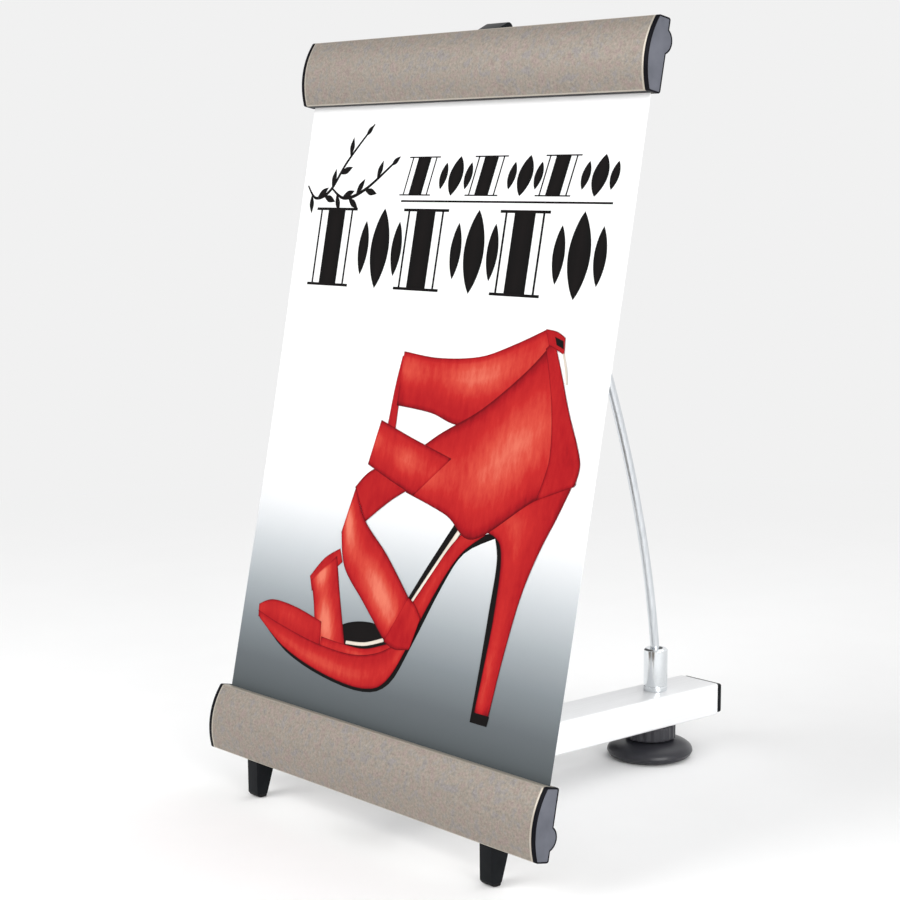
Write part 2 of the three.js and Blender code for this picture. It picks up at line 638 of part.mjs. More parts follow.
// A domed round pad. It stays level while the stud leans with the chassis.
function rearPad() {
  const [domeX, domeZ] = [16.8, PAD_TOP - PAD_RIM];
  const dome = [0, 15, 30, 45, 60, 75].map(degToRad).map((angle) =>
    [PAD_RADIUS - domeX * (1 - Math.cos(angle)), PAD_RIM + domeZ * Math.sin(angle)]);
  return turnedAboutZ([
    [9.5, 0], [PAD_RADIUS - 4.8, 0], [PAD_RADIUS - 1.4, 1.6], ...dome, [PAD_RADIUS - domeX, PAD_TOP],
    [3.4, PAD_TOP], [3.4, 3.6], [9.5, 3.6], [9.5, 0],
  ], REAR_FOOT_Y, 40);
}

// The hand wheel: a fluted black ring moulded on the stud.
function rearHub() {
  const outline = new THREE.Shape();
  const flutes = 20;
  const stops = flutes * 4;
  for (let i = 0; i <= stops; i += 1) {
    const angle = (i / stops) * 2 * Math.PI;
    const radius = HUB_RADIUS - 0.35 + 0.35 * Math.cos(flutes * angle);
    const [x, y] = [radius * Math.cos(angle), radius * Math.sin(angle)];
    if (i === 0) outline.moveTo(x, y);
    else if (i < stops) outline.lineTo(x, y);
  }
  outline.closePath();
  const bore = new THREE.Path();
  bore.absarc(0, 0, STUD_RADIUS + 0.3, 0, 2 * Math.PI, true);
  outline.holes.push(bore);
  const height = ARM_BOTTOM - GAP - PAD_TOP - HUB_GAP;
  const wheel = new THREE.ExtrudeGeometry(outline, {
    depth: height - 1.2, bevelEnabled: true, bevelSize: 0.6, bevelThickness: 0.6, bevelOffset: -0.6,
    bevelSegments: 1, curveSegments: 8,
  });
  return wheel.translate(0, REAR_FOOT_Y, PAD_TOP + HUB_GAP + 0.6);
}

function rearStud() {
  const neck = 2.9;
  const groove = 2.2;
  return turnedAboutZ([
    [0, 0.8], [neck, 0.8], [neck, 1.7], [groove, 1.7], [groove, 2.9], [neck, 2.9],
    [neck, PAD_TOP + HUB_GAP], [STUD_RADIUS, PAD_TOP + HUB_GAP], [STUD_RADIUS, 35],
    [STUD_RADIUS - 1, 36], [0, 36],
  ], REAR_FOOT_Y, 24);
}

// An open ring in the stud's groove that keeps the pad on.
function retainingRing() {
  const open = degToRad(35);
  const ring = new THREE.Shape();
  ring.absarc(0, 0, 6, open, 2 * Math.PI - open, false);
  ring.absarc(0, 0, 2.4, 2 * Math.PI - open, open, true);
  ring.closePath();
  const geometry = new THREE.ExtrudeGeometry(ring, { depth: 0.8, bevelEnabled: false, curveSegments: 12 });
  return geometry.translate(0, REAR_FOOT_Y, 1.9);
}

// A block inside the arm: the stud screws into it from below, and the socket's spigot drops in above.
function footNut() {
  const [bottom, top] = [ARM_BOTTOM + ARM_WALL + 0.1, ARM_TOP - ARM_WALL - 0.1];
  const bore = STUD_RADIUS + 0.15;
  return cut(box([-13, 13], [REAR_FOOT_Y - 11, SOCKET_Y + 11], [bottom, top]),
    barAlongZ(bore, bottom - 1, 37, 0, REAR_FOOT_Y),
    barAlongZ(bore, 38.2, top + 1, 0, SOCKET_Y));
}

function buildRearFoot() {
  add(chassis, 'foot_nut', footNut(), STEEL);
  add(stand, 'rear_foot_pad', rearPad(), BLACK_PLASTIC);
  add(chassis, 'rear_foot_hub', rearHub(), BLACK_PLASTIC);
  add(chassis, 'rear_foot_stud', rearStud(), STEEL);
  add(chassis, 'rear_foot_ring', retainingRing(), STEEL);
}

// ---------- assembly ----------
const rod = new BentRod();
buildCassette();
buildRoller();
add(leaning, 'banner_sheet', bannerSheet(), FILM);
buildTopRail(rod);
buildFrontFeet();
buildArm();
add(chassis, 'rod_socket', rodSocket(), CHROME);
add(chassis, 'flex_rod', flexRod(rod), CHROME);
buildRearFoot();

// The origin is on the table, under the middle of the whole stand.
const bounds = new THREE.Box3().setFromObject(stand, true);
stand.position.y = -(bounds.min.y + bounds.max.y) / 2;

const group = new THREE.Group();
group.add(stand);
export default group;
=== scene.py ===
import math

import bmesh
import bpy
from mathutils import Euler, Matrix, Vector


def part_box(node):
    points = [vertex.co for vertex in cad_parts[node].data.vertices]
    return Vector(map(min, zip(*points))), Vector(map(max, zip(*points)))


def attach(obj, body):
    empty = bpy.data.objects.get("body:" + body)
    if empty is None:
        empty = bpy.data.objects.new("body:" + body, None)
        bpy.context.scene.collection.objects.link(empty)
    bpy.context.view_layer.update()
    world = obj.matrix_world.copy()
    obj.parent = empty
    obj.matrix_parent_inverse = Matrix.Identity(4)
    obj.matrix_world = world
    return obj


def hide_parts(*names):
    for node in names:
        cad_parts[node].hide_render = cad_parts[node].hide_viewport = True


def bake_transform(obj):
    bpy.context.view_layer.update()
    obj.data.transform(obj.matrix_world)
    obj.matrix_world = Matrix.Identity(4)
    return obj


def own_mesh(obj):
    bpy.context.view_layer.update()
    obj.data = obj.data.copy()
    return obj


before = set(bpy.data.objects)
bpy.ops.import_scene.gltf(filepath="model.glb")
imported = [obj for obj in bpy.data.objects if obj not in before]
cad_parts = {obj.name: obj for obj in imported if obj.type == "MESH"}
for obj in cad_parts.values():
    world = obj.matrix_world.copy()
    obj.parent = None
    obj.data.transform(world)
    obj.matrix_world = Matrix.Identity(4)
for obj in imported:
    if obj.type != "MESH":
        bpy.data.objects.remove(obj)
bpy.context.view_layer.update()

# ------------------------------------------------ sizes, in millimetres
MM = 0.001
TILT = math.radians(0.85)
LEAN = math.radians(11)
MOUTH_HEIGHT = 60.2
BANNER_WIDTH = 297.0
BANNER_VISIBLE = 378.8
RAIL_LENGTH = 300.0
RAIL_HEIGHT = 41.5
RAIL_WALL = 1.3
RAIL_FLOOR = 2.5
RAIL_BACK = 3.0
FRONT_DEPTH = 11.0
FRONT_RADIUS = 45.6
MOUTH_WIDTH = 1.8
CHAMBER_BACK, CHAMBER_HEIGHT, CHAMBER_INNER, CHAMBER_OUTER = -0.9, 28.3, 6.5, 7.7
CAP_THICKNESS = 2.8
FOOT_X = 110.0
FOOT_WIDTH, FOOT_FRONT, FOOT_HEEL, FOOT_RAKE, FOOT_TOE, FOOT_SOLE = 10.0, -11.9, -4.9, 0.33, 3.5, 1.8
FOOT_BLANK_HEIGHT = 28.0
ARM_WIDTH, ARM_BOTTOM, ARM_TOP, ARM_WALL = 34.4, 22.7, 44.4, 1.5
ARM_END = 287.3
ARM_CAP = 5.0
FLANGE_BACK = 11.0
SOCKET_Y = 243.2
REAR_FOOT_Y = 238.5
SOCKET_RADIUS, SOCKET_TOP = 8.0, 73.4
SOCKET_BORE, SOCKET_BORE_DEPTH = 4.1, 18.0
STUD_RADIUS = 3.9
PAD_RADIUS, PAD_RIM, PAD_TOP, HUB_RADIUS, HUB_GAP = 28.8, 4.2, 12.2, 17.2, 0.6
PAD_DOME, PAD_BORE, PAD_RECESS, PAD_RECESS_TOP = 16.8, 3.4, 9.5, 3.6
HUB_FLUTES, HUB_FLUTE_DEPTH = 20, 0.35
ROD_RADIUS, ROD_LENGTH, ROD_IN_SOCKET = 3.0, 430.3, 16.8
ROD_SOCKET_ANGLE, ROD_TIP_ANGLE = math.radians(6.5), math.radians(27)
CUP_HALF, CUP_ROOF, CUP_DEPTH = 5.7, 3.0, 11.0
CLIP_WIDTH, CLIP_BACK, CLIP_SCREW_X = 19.0, 12.5, 6.0
CLIP_FOOT, CLIP_SHELF, CLIP_STEP, CLIP_FOOT_BACK = 14.0, 31.8, 21.5, 7.5
FLANGE_SCREW_X, FLANGE_SCREW_HEIGHTS = 22.5, (17.0, 38.0)
TUBE_SCREW_PLACES = (22.0, 37.0)
# screws: the head's radius and height, then the shank's radius and length
CLIP_SCREW = (2.5, 1.8, 1.4, 8.2)
FLANGE_SCREW = (2.8, 2.4, 1.4, 10.4)
TUBE_SCREW = (3.6, 2.0, 1.8, 7.0)
GAP = 0.3

# ------------------------------------------------ frames
pad_low, pad_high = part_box("rear_foot_pad")
SHIFT = (pad_low.y + pad_high.y) / 2 / MM - REAR_FOOT_Y
STAND = Matrix.Scale(MM, 4) @ Matrix.Translation((0, SHIFT, 0))
TIP_BACK = (Matrix.Translation((0, REAR_FOOT_Y, 0)) @ Matrix.Rotation(-TILT, 4, "X")
            @ Matrix.Translation((0, -REAR_FOOT_Y, 0)))
CHASSIS = STAND @ TIP_BACK
LEANING = CHASSIS @ Matrix.Translation((0, 0, MOUTH_HEIGHT)) @ Matrix.Rotation(-LEAN, 4, "X")
CASSETTE = LEANING @ Matrix.Rotation(math.pi, 4, "Y")
TOP_RAIL = LEANING @ Matrix.Translation((0, 0, BANNER_VISIBLE))


# ------------------------------------------------ outlines
def arc(centre, radius, start, end, steps):
    """Points on an arc, both ends included; angles in radians."""
    return [
        (centre[0] + radius * math.cos(start + (end - start) * i / steps),
         centre[1] + radius * math.sin(start + (end - start) * i / steps))
        for i in range(steps + 1)
    ]


def rounded(corners, closed=True, steps=5):
    """A polyline through (a, b, radius) corners, with each corner turned as an arc."""
    points = []
    count = len(corners)
    for i, (a, b, radius) in enumerate(corners):
        if radius <= 0 or (not closed and i in (0, count - 1)):
            points.append((a, b))
            continue
        here = Vector((a, b))
        before = Vector(corners[i - 1][:2]) - here
        after = Vector(corners[(i + 1) % count][:2]) - here
        half = before.angle(after) / 2
        reach = min(radius / math.tan(half), before.length * 0.49, after.length * 0.49)
        radius = reach * math.tan(half)
        middle = here + (before.normalized() + after.normalized()).normalized() * radius / math.sin(half)
        first = here + before.normalized() * reach - middle
        last = here + after.normalized() * reach - middle
        turn = first.angle_signed(last)
        for k in range(steps + 1):
            spoke = first.copy()
            spoke.rotate(Matrix.Rotation(-turn * k / steps, 2))
            points.append(tuple(middle + spoke))
    return points


# ------------------------------------------------ meshes
PLACE = {
    "X": lambda a, b, c: (c, a, b),
    "Y": lambda a, b, c: (a, c, b),
    "Z": lambda a, b, c: (a, b, c),
}


def drawn(outline, axis, start, end, bevel=0.3, bevel_steps=2):
    """A prism: the outline drawn out along an axis. start may be a function of the outline's point."""
    mesh = bmesh.new()
    place = PLACE[axis]
    first = start if callable(start) else (lambda a, b: start)
    near = [mesh.verts.new(place(a, b, first(a, b))) for a, b in outline]
    far = [mesh.verts.new(place(a, b, end)) for a, b in outline]
    mesh.faces.new(near)
    mesh.faces.new(far)
    for i in range(len(outline)):
        j = (i + 1) % len(outline)
        mesh.faces.new((near[i], near[j], far[j], far[i]))
    bmesh.ops.recalc_face_normals(mesh, faces=mesh.faces)
    return softened(mesh, bevel, bevel_steps)


def softened(mesh, bevel, steps=2, angle=35):
    """Rounds every edge sharper than the angle."""
    if bevel > 0:
        sharp = [e for e in mesh.edges
                 if len(e.link_faces) == 2 and e.calc_face_angle(0) > math.radians(angle)]
        bmesh.ops.bevel(mesh, geom=sharp, offset=bevel, segments=steps, profile=0.6,
                        affect="EDGES", clamp_overlap=True)
        bmesh.ops.remove_doubles(mesh, verts=mesh.verts, dist=0.01)
    return mesh


def turned(profile, y=0.0, segments=96):
    """A profile of (radius, height) points turned about the vertical line at (0, y)."""
    mesh = bmesh.new()
    rings = []
    for radius, height in profile:
        if radius < 1e-6:
            rings.append([mesh.verts.new((0, y, height))])
            continue
        rings.append([
            mesh.verts.new((radius * math.cos(2 * math.pi * i / segments),
                            y + radius * math.sin(2 * math.pi * i / segments), height))
            for i in range(segments)
        ])
    for low, high in zip(rings, rings[1:]):
        for i in range(segments):
            j = (i + 1) % segments
            corners = [low[i % len(low)], low[j % len(low)], high[j % len(high)], high[i % len(high)]]
            mesh.faces.new(list(dict.fromkeys(corners)))
    bmesh.ops.remove_doubles(mesh, verts=mesh.verts, dist=1e-5)
    bmesh.ops.recalc_face_normals(mesh, faces=mesh.faces)
    return mesh


def lofted(rings):
    """A closed body through rings of points, the first and last ring closed by a face each."""
    mesh = bmesh.new()
    rows = [[mesh.verts.new(point) for point in ring] for ring in rings]
    for low, high in zip(rows, rows[1:]):
        for i in range(len(low)):
            j = (i + 1) % len(low)
            mesh.faces.new((low[i], low[j], high[j], high[i]))
    mesh.faces.new(rows[0])
    mesh.faces.new(rows[-1])
    bmesh.ops.recalc_face_normals(mesh, faces=mesh.faces)
    return mesh


def piece(name, mesh, matrix, body, materials, nodes=(), smooth=32, ride=True):
    """Makes the object from a mesh in millimetres, in the row frame, riding on its CAD body."""
    data = bpy.data.meshes.new(name)
    mesh.transform(matrix)
    mesh.to_mesh(data)
    mesh.free()
    obj = bpy.data.objects.new(name, data)
    bpy.context.scene.collection.objects.link(obj)
    for material in materials:
        data.materials.append(material)
    data.shade_smooth()
    data.set_sharp_from_angle(angle=math.radians(smooth))
    if nodes:
        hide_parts(*nodes)
    if ride:
        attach(obj, body)
    return obj


def carved(mesh, *cutters):
    """The body of the first mesh with the others cut out of it."""
    objects = []
    for part in (mesh, *cutters):
        data = bpy.data.meshes.new("carving")
        part.to_mesh(data)
        part.free()
        obj = bpy.data.objects.new("carving", data)
        bpy.context.scene.collection.objects.link(obj)
        objects.append(obj)
    for cutter in objects[1:]:
        modifier = objects[0].modifiers.new("cut", "BOOLEAN")
        modifier.operation = "DIFFERENCE"
        modifier.solver = "EXACT"
        modifier.object = cutter
    graph = bpy.context.evaluated_depsgraph_get()
    result = bmesh.new()
    result.from_object(objects[0], graph)
    for obj in objects:
        bpy.data.meshes.remove(obj.data)
    return result


def bar(start, end, radius, segments=48):
    """A round bar between two points."""
    mesh = bmesh.new()
    line = Vector(end) - Vector(start)
    turn = line.to_track_quat("Z", "Y").to_matrix().to_4x4()
    middle = Matrix.Translation((Vector(start) + Vector(end)) / 2)
    bmesh.ops.create_cone(mesh, cap_ends=True, segments=segments, radius1=radius, radius2=radius,
                          depth=line.length, matrix=middle @ turn)
    return mesh


# ------------------------------------------------ materials
class Shader:
    """A Principled material with a few short ways to add nodes to it."""

    def __init__(self, name, roughness=0.5, metallic=0.0, **inputs):
        self.material = bpy.data.materials.new(name)
        self.material.use_nodes = True
        self.tree = self.material.node_tree
        self.surface = self.tree.nodes["Principled BSDF"]
        self.set("Roughness", roughness)
        self.set("Metallic", metallic)
        for key, value in inputs.items():
            self.set(key.replace("_", " "), value)
        self.place = self.tree.nodes.new("ShaderNodeTexCoord").outputs["Object"]

    def set(self, socket, value):
        """Links or sets one of the surface's inputs."""
        if isinstance(value, bpy.types.NodeSocket):
            self.tree.links.new(value, self.surface.inputs[socket])
        elif isinstance(value, tuple) and len(value) == 3:
            self.surface.inputs[socket].default_value = (*value, 1)
        else:
            self.surface.inputs[socket].default_value = value

    def node(self, kind, settings=None, **inputs):
        """A new node with its settings made and its inputs linked or set."""
        node = self.tree.nodes.new(kind)
        for key, value in (settings or {}).items():
            setattr(node, key, value)
        for key, value in inputs.items():
            socket = node.inputs[key.replace("_", " ")]
            if isinstance(value, bpy.types.NodeSocket):
                self.tree.links.new(value, socket)
            else:
                socket.default_value = value
        return node

    def noise(self, scale, stretch=(1, 1, 1), detail=4.0, roughness=0.55):
        """Noise with `scale` cells per metre, stretched by dividing each axis."""
        mapping = self.node("ShaderNodeMapping", Vector=self.place,
                            Scale=tuple(1 / value for value in stretch))
        noise = self.node("ShaderNodeTexNoise", Vector=mapping.outputs[0], Scale=scale,
                          Detail=detail, Roughness=roughness)
        return noise.outputs[0]

    def ramp(self, factor, *stops):
        """Colours at places along a factor."""
        ramp = self.node("ShaderNodeValToRGB", Fac=factor)
        elements = ramp.color_ramp.elements
        while len(elements) < len(stops):
            elements.new(0.5)
        for element, (position, colour) in zip(elements, stops):
            element.position = position
            element.color = (*colour, 1)
        return ramp.outputs[0]

    def range(self, factor, low, high):
        """A 0-1 factor mapped to low-high."""
        return self.node("ShaderNodeMapRange", Value=factor, To_Min=low, To_Max=high).outputs[0]

    def mix(self, factor, first, second, mode="MIX"):
        """Two colours blended by a factor."""
        node = self.tree.nodes.new("ShaderNodeMix")
        node.data_type = "RGBA"
        node.blend_type = mode
        for index, value in ((0, factor), (6, first), (7, second)):
            if isinstance(value, bpy.types.NodeSocket):
                self.tree.links.new(value, node.inputs[index])
            else:
                node.inputs[index].default_value = value if index == 0 else (*value, 1)
        return node.outputs[2]

    def bump(self, height, strength, distance, edge=0.0):
        """Surface relief. Sharp edges are shaded as if rounded by the radius `edge`."""
        node = self.node("ShaderNodeBump", Height=height, Strength=strength, Distance=distance)
        if edge:
            soft = self.node("ShaderNodeBevel", {"samples": 4}, Radius=edge)
            self.tree.links.new(soft.outputs[0], node.inputs["Normal"])
        self.set("Normal", node.outputs[0])

    def attribute(self, name):
        """A value stored on the mesh."""
        return self.node("ShaderNodeAttribute", {"attribute_name": name}).outputs["Fac"]


def anodised():
    """Warm grey satin aluminium: a fine mottled speckle, faint lines along the extrusion."""
    shader = Shader("anodised_aluminium", metallic=0.45)
    speckle = shader.noise(650, detail=4, roughness=0.75)
    cloud = shader.noise(190, detail=3)
    lines = shader.noise(1500, stretch=(120, 1, 1), detail=2)
    base = shader.ramp(speckle, (0.3, (0.215, 0.186, 0.166)), (0.5, (0.295, 0.258, 0.23)),
                       (0.72, (0.375, 0.332, 0.3)))
    tint = shader.ramp(cloud, (0.36, (0.88, 0.92, 1.0)), (0.46, (0.97, 1.0, 0.94)), (0.54, (1.03, 1.0, 0.93)),
                       (0.64, (1.02, 0.92, 0.93)))
    shader.set("Base Color", shader.mix(0.85, base, tint, "MULTIPLY"))
    shader.set("Roughness", shader.range(shader.noise(700, stretch=(6, 1, 1)), 0.5, 0.62))
    shader.bump(shader.mix(0.4, speckle, lines), 0.2, 0.0001)
    return shader.material


def sawn_edge_and_highlight():
    """Bright bare aluminium for the extrusion's sawn ends, also painted on as highlight along its rounded
    edges.
    """
    shader = Shader("sawn_edge_and_painted_highlight", metallic=0.45)
    grain = shader.noise(1400, detail=3)
    shader.set("Base Color", shader.ramp(grain, (0.3, (0.4, 0.36, 0.3)), (0.7, (0.52, 0.475, 0.405))))
    shader.set("Roughness", shader.range(grain, 0.36, 0.5))
    return shader.material


def moulded(name, dark, light, roughness, grain=2600, gloss=0.16):
    """Moulded plastic: a fine spark-eroded grain and slight variation in shade."""
    shader = Shader(name, Specular_IOR_Level=gloss)
    fine = shader.noise(grain, detail=5, roughness=0.6)
    broad = shader.noise(60, detail=3)
    shader.set("Base Color", shader.ramp(broad, (0.3, dark), (0.7, light)))
    shader.set("Roughness", shader.range(fine, roughness - 0.07, roughness + 0.07))
    shader.bump(fine, 0.35, 0.00006, edge=0.00025)
    return shader.material


def white_aluminium():
    """Bright white anodised tube with faint lines along its length."""
    shader = Shader("white_aluminium", metallic=0.25)
    lines = shader.noise(1200, stretch=(1, 150, 1), detail=2)
    fine = shader.noise(1600, detail=3)
    shader.set("Base Color", shader.ramp(lines, (0.3, (0.8, 0.805, 0.815)), (0.7, (0.85, 0.855, 0.865))))
    shader.set("Roughness", shader.range(fine, 0.32, 0.46))
    shader.bump(shader.mix(0.5, lines, fine), 0.08, 0.00004)
    return shader.material


def plated(name, dark, light, low, high, stretch=(1, 1, 1)):
    """Plated steel with faint wiping marks in its polish."""
    shader = Shader(name, metallic=1.0)
    marks = shader.noise(900, stretch=stretch, detail=3)
    shader.set("Base Color", shader.ramp(marks, (0.35, dark), (0.65, light)))
    shader.set("Roughness", shader.range(marks, low, high))
    shader.bump(shader.noise(1800, detail=2), 0.05, 0.00003)
    return shader.material


def film():
    """Printed banner film: white, fading to dark grey at the bottom."""
    shader = Shader("banner_film", Specular_IOR_Level=0.25)
    height = shader.attribute("up_banner")
    fade = shader.ramp(height, (0.0, (0.066, 0.078, 0.084)), (0.06, (0.105, 0.12, 0.13)),
                       (0.12, (0.185, 0.21, 0.225)), (0.18, (0.31, 0.34, 0.36)), (0.25, (0.5, 0.53, 0.55)),
                       (0.32, (0.72, 0.735, 0.75)), (0.39, (0.9, 0.9, 0.9)))
    grain = shader.noise(3000, detail=2)
    shader.set("Base Color", shader.mix(0.03, fade, grain, "MULTIPLY"))
    shader.set("Roughness", shader.range(grain, 0.45, 0.6))
    shader.bump(grain, 0.06, 0.00003)
    return shader.material


def film_back():
    """The film's unprinted silver-grey back."""
    shader = Shader("film_back", Specular_IOR_Level=0.4)
    grain = shader.noise(900, detail=4)
    shader.set("Base Color", shader.ramp(grain, (0.35, (0.6, 0.61, 0.62)), (0.65, (0.66, 0.67, 0.68))))
    shader.set("Roughness", shader.range(grain, 0.4, 0.55))
    return shader.material


def ink(name, *stops):
    """Printed ink on the film, shaded by the print's own attribute, with a faint satin weave."""
    shader = Shader(name, Specular_IOR_Level=0.05)
    satin = shader.noise(260, stretch=(1, 1, 4), detail=6, roughness=0.7)
    shade = shader.node("ShaderNodeMath", {"operation": "MULTIPLY_ADD"})
    shader.tree.links.new(satin, shade.inputs[0])
    shade.inputs[1].default_value = 0.34
    shader.tree.links.new(shader.attribute("shade"), shade.inputs[2])
    shader.set("Base Color", shader.ramp(shade.outputs[0], *stops))
    shader.set("Roughness", shader.range(satin, 0.45, 0.6))
    return shader.material


ANODISED = anodised()
EDGE = sawn_edge_and_highlight()
# The caps' black plastic, also used as painted shade on the top rail's downward mouth faces.
CAP_RIM_AND_PAINTED_SHADE = moulded("cap_rim_and_painted_shade", (0.004, 0.004, 0.006), (0.007, 0.007, 0.01), 0.4, gloss=0.04)
# The cap is black plastic all through: this lighter blue-grey is painted light, the face as lit from the
# side.
CAP_FACE_PAINTED_LIT = moulded("cap_face_painted_lit", (0.088, 0.093, 0.112), (0.125, 0.13, 0.155), 0.5, grain=1500)
BLACK = moulded("black_plastic", (0.003, 0.004, 0.005), (0.007, 0.008, 0.01), 0.36, gloss=0.09)
PAD = moulded("pad_plastic", (0.017, 0.017, 0.022), (0.028, 0.028, 0.034), 0.34, gloss=0.4)
RUBBER = moulded("rubber", (0.006, 0.006, 0.006), (0.014, 0.014, 0.014), 0.7, grain=1800)
NYLON = moulded("nylon", (0.6, 0.58, 0.52), (0.7, 0.68, 0.62), 0.5)
WHITE = white_aluminium()
CHROME = plated("chrome", (0.74, 0.77, 0.79), (0.8, 0.825, 0.845), 0.1, 0.14)
ROD = plated("rod_steel", (0.64, 0.67, 0.7), (0.76, 0.785, 0.81), 0.16, 0.24, stretch=(1, 1, 30))
STEEL = plated("zinc_steel", (0.4, 0.41, 0.43), (0.56, 0.57, 0.58), 0.28, 0.42)
FILM = film()
FILM_BACK = film_back()
RED = ink("red_ink", (0.0, (0.05, 0.001, 0.003)), (0.25, (0.17, 0.003, 0.007)), (0.45, (0.36, 0.008, 0.012)),
          (0.62, (0.46, 0.019, 0.018)), (0.8, (0.56, 0.06, 0.04)), (1.0, (0.68, 0.17, 0.11)))
DARK_INK = ink("dark_ink", (0.0, (0.003, 0.003, 0.003)), (1.0, (0.008, 0.006, 0.006)))
CREAM_INK = ink("cream_ink", (0.0, (0.45, 0.38, 0.3)), (1.0, (0.8, 0.74, 0.66)))


# ------------------------------------------------ rails
def front_angle(height, radius):
    """The angle from the front arc's middle to a height on it."""
    return math.asin((height - RAIL_HEIGHT / 2) / radius)


def outside():
    """The section's outside, from the mouth's front lip round to its back lip."""
    centre = (FRONT_RADIUS - FRONT_DEPTH, RAIL_HEIGHT / 2)
    sweep = front_angle(2, FRONT_RADIUS)
    front = centre[0] - FRONT_RADIUS * math.cos(sweep)
    low = rounded([(front + 3, 0, 0), (front + 0.75, 0, 1.6), (front, 2, 0)], closed=False)
    high = [(a, RAIL_HEIGHT - b) for a, b in reversed(low)]
    bump = math.acos((RAIL_BACK - CHAMBER_BACK) / CHAMBER_OUTER)
    return ([(-MOUTH_WIDTH / 2, 0)] + low
            + arc(centre, FRONT_RADIUS, math.pi - sweep, math.pi + sweep, 48)[1:-1]
            + high
            + arc((RAIL_BACK - 1.5, RAIL_HEIGHT - 1.5), 1.5, math.pi / 2, 0, 5)
            + arc((CHAMBER_BACK, CHAMBER_HEIGHT), CHAMBER_OUTER, bump, -bump, 32)
            + arc((RAIL_BACK - 1.5, 1.5), 1.5, 0, -math.pi / 2, 5)
            + [(MOUTH_WIDTH / 2, 0)])


def inside():
    """The section's hollow, from the mouth's back lip round to its front lip."""
    back = RAIL_BACK - RAIL_WALL
    floor = RAIL_HEIGHT - RAIL_FLOOR
    radius = FRONT_RADIUS - RAIL_WALL
    chamber = math.acos((back - CHAMBER_BACK) / CHAMBER_INNER)
    centre = (FRONT_RADIUS - FRONT_DEPTH, RAIL_HEIGHT / 2)
    return ([(MOUTH_WIDTH / 2, 2), (back, 2)]
            + arc((CHAMBER_BACK, CHAMBER_HEIGHT), CHAMBER_INNER, -chamber, chamber, 24)
            + [(back, floor)]
            + arc(centre, radius, math.pi - front_angle(floor, radius), math.pi - front_angle(2, radius), 24)
            + [(-MOUTH_WIDTH / 2, 2)])


def rail(name, matrix, body, node, mouth_painted_shading):
    """The extrusion: bright bare metal where it was sawn, painted highlight on a strip by each end and along
    its rounded front corners, and mouth faces painted lit on the cassette and dark as painted shade on the
    top rail.
    """
    half = RAIL_LENGTH / 2
    bright = 1.3
    mesh = drawn(outside() + inside(), "X", -half, half, bevel=0.35, bevel_steps=2)
    for x in (-half + bright, half - bright):
        bmesh.ops.bisect_plane(mesh, geom=mesh.verts[:] + mesh.edges[:] + mesh.faces[:],
                               plane_co=(x, 0, 0), plane_no=(1, 0, 0), dist=1e-5)
    for face in mesh.faces:
        middle = face.calc_center_median()
        # Mouth faces: painted highlight on the cassette, whose mouth faces up; painted shade in the caps'
        # black under the top rail, whose mouth faces down.
        if abs(middle.z) < 0.05:
            face.material_index = mouth_painted_shading
        # Sawn end faces are bare metal; the strip beside each end and the rounded corners get the same bright
        # colour as painted highlight.
        elif abs(middle.x) > half - bright or middle.z < 0.6 or middle.z > RAIL_HEIGHT - 0.6:
            face.material_index = 1
    piece(name, mesh, matrix, body, [ANODISED, EDGE, CAP_RIM_AND_PAINTED_SHADE], [node], smooth=40)


def cap(name, matrix, side, body, node):
    """An end cap of black plastic: a dark rounded rim round a slightly sunk face painted a lighter blue-grey,
    as if lit from the side.
    """
    start = side * (RAIL_LENGTH / 2 + 0.1)
    end = side * (RAIL_LENGTH / 2 + 0.1 + CAP_THICKNESS)
    mesh = drawn(outside(), "X", start, end, bevel=0)
    outer = max(mesh.faces, key=lambda face: side * face.calc_center_median().x)
    bmesh.ops.inset_region(mesh, faces=[outer], thickness=0.6)
    bmesh.ops.inset_region(mesh, faces=[outer], thickness=0.35)
    for vert in outer.verts:
        vert.co.x -= side * 0.3
    # The face takes the painted-lit blue-grey.
    outer.material_index = 1
    rim = [edge for edge in mesh.edges if all(abs(vert.co.x - end) < 1e-4 for vert in edge.verts)
           and any(abs(face.normal.x) < 0.1 for face in edge.link_faces)]
    bmesh.ops.bevel(mesh, geom=rim, offset=0.45, segments=3, profile=0.5, affect="EDGES",
                    clamp_overlap=True)
    piece(name, mesh, matrix, body, [CAP_RIM_AND_PAINTED_SHADE, CAP_FACE_PAINTED_LIT], [node], smooth=35)


def build_rails():
    """Both rails. The cassette's section is turned over, so its left and right change places."""
    # The mouth faces: painted highlight on the cassette, painted shade on the top rail.
    rail("cassette_body", CASSETTE, "cassette", "cassette_shell", mouth_painted_shading=1)
    rail("top_rail_body", TOP_RAIL, "top_rail", "top_rail_shell", mouth_painted_shading=2)
    cap("cassette_end_left", CASSETTE, 1, "cassette", "cassette_cap_left")
    cap("cassette_end_right", CASSETTE, -1, "cassette", "cassette_cap_right")
    cap("top_rail_end_left", TOP_RAIL, -1, "top_rail", "top_cap_left")
    cap("top_rail_end_right", TOP_RAIL, 1, "top_rail", "top_cap_right")


# ------------------------------------------------ banner and its print
PRINT_PROUD = 0.14
PRINT_STEP = 0.02
INK = 0.012


def sheet_back(x, up):
    """How far the film bows behind the flat plane: held flat in both rails, free at its side edges."""
    held = math.sin(math.pi * min(max(up / BANNER_VISIBLE, 0), 1))
    across = x / (BANNER_WIDTH / 2)
    wave = 0.35 * math.sin(2.2 * math.pi * up / BANNER_VISIBLE + 1.3 * across)
    return held * (1.3 * across ** 4 + wave * across ** 2)


def banner_squash(obj):
    """Gives the object a mesh of its own."""
    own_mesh(obj)


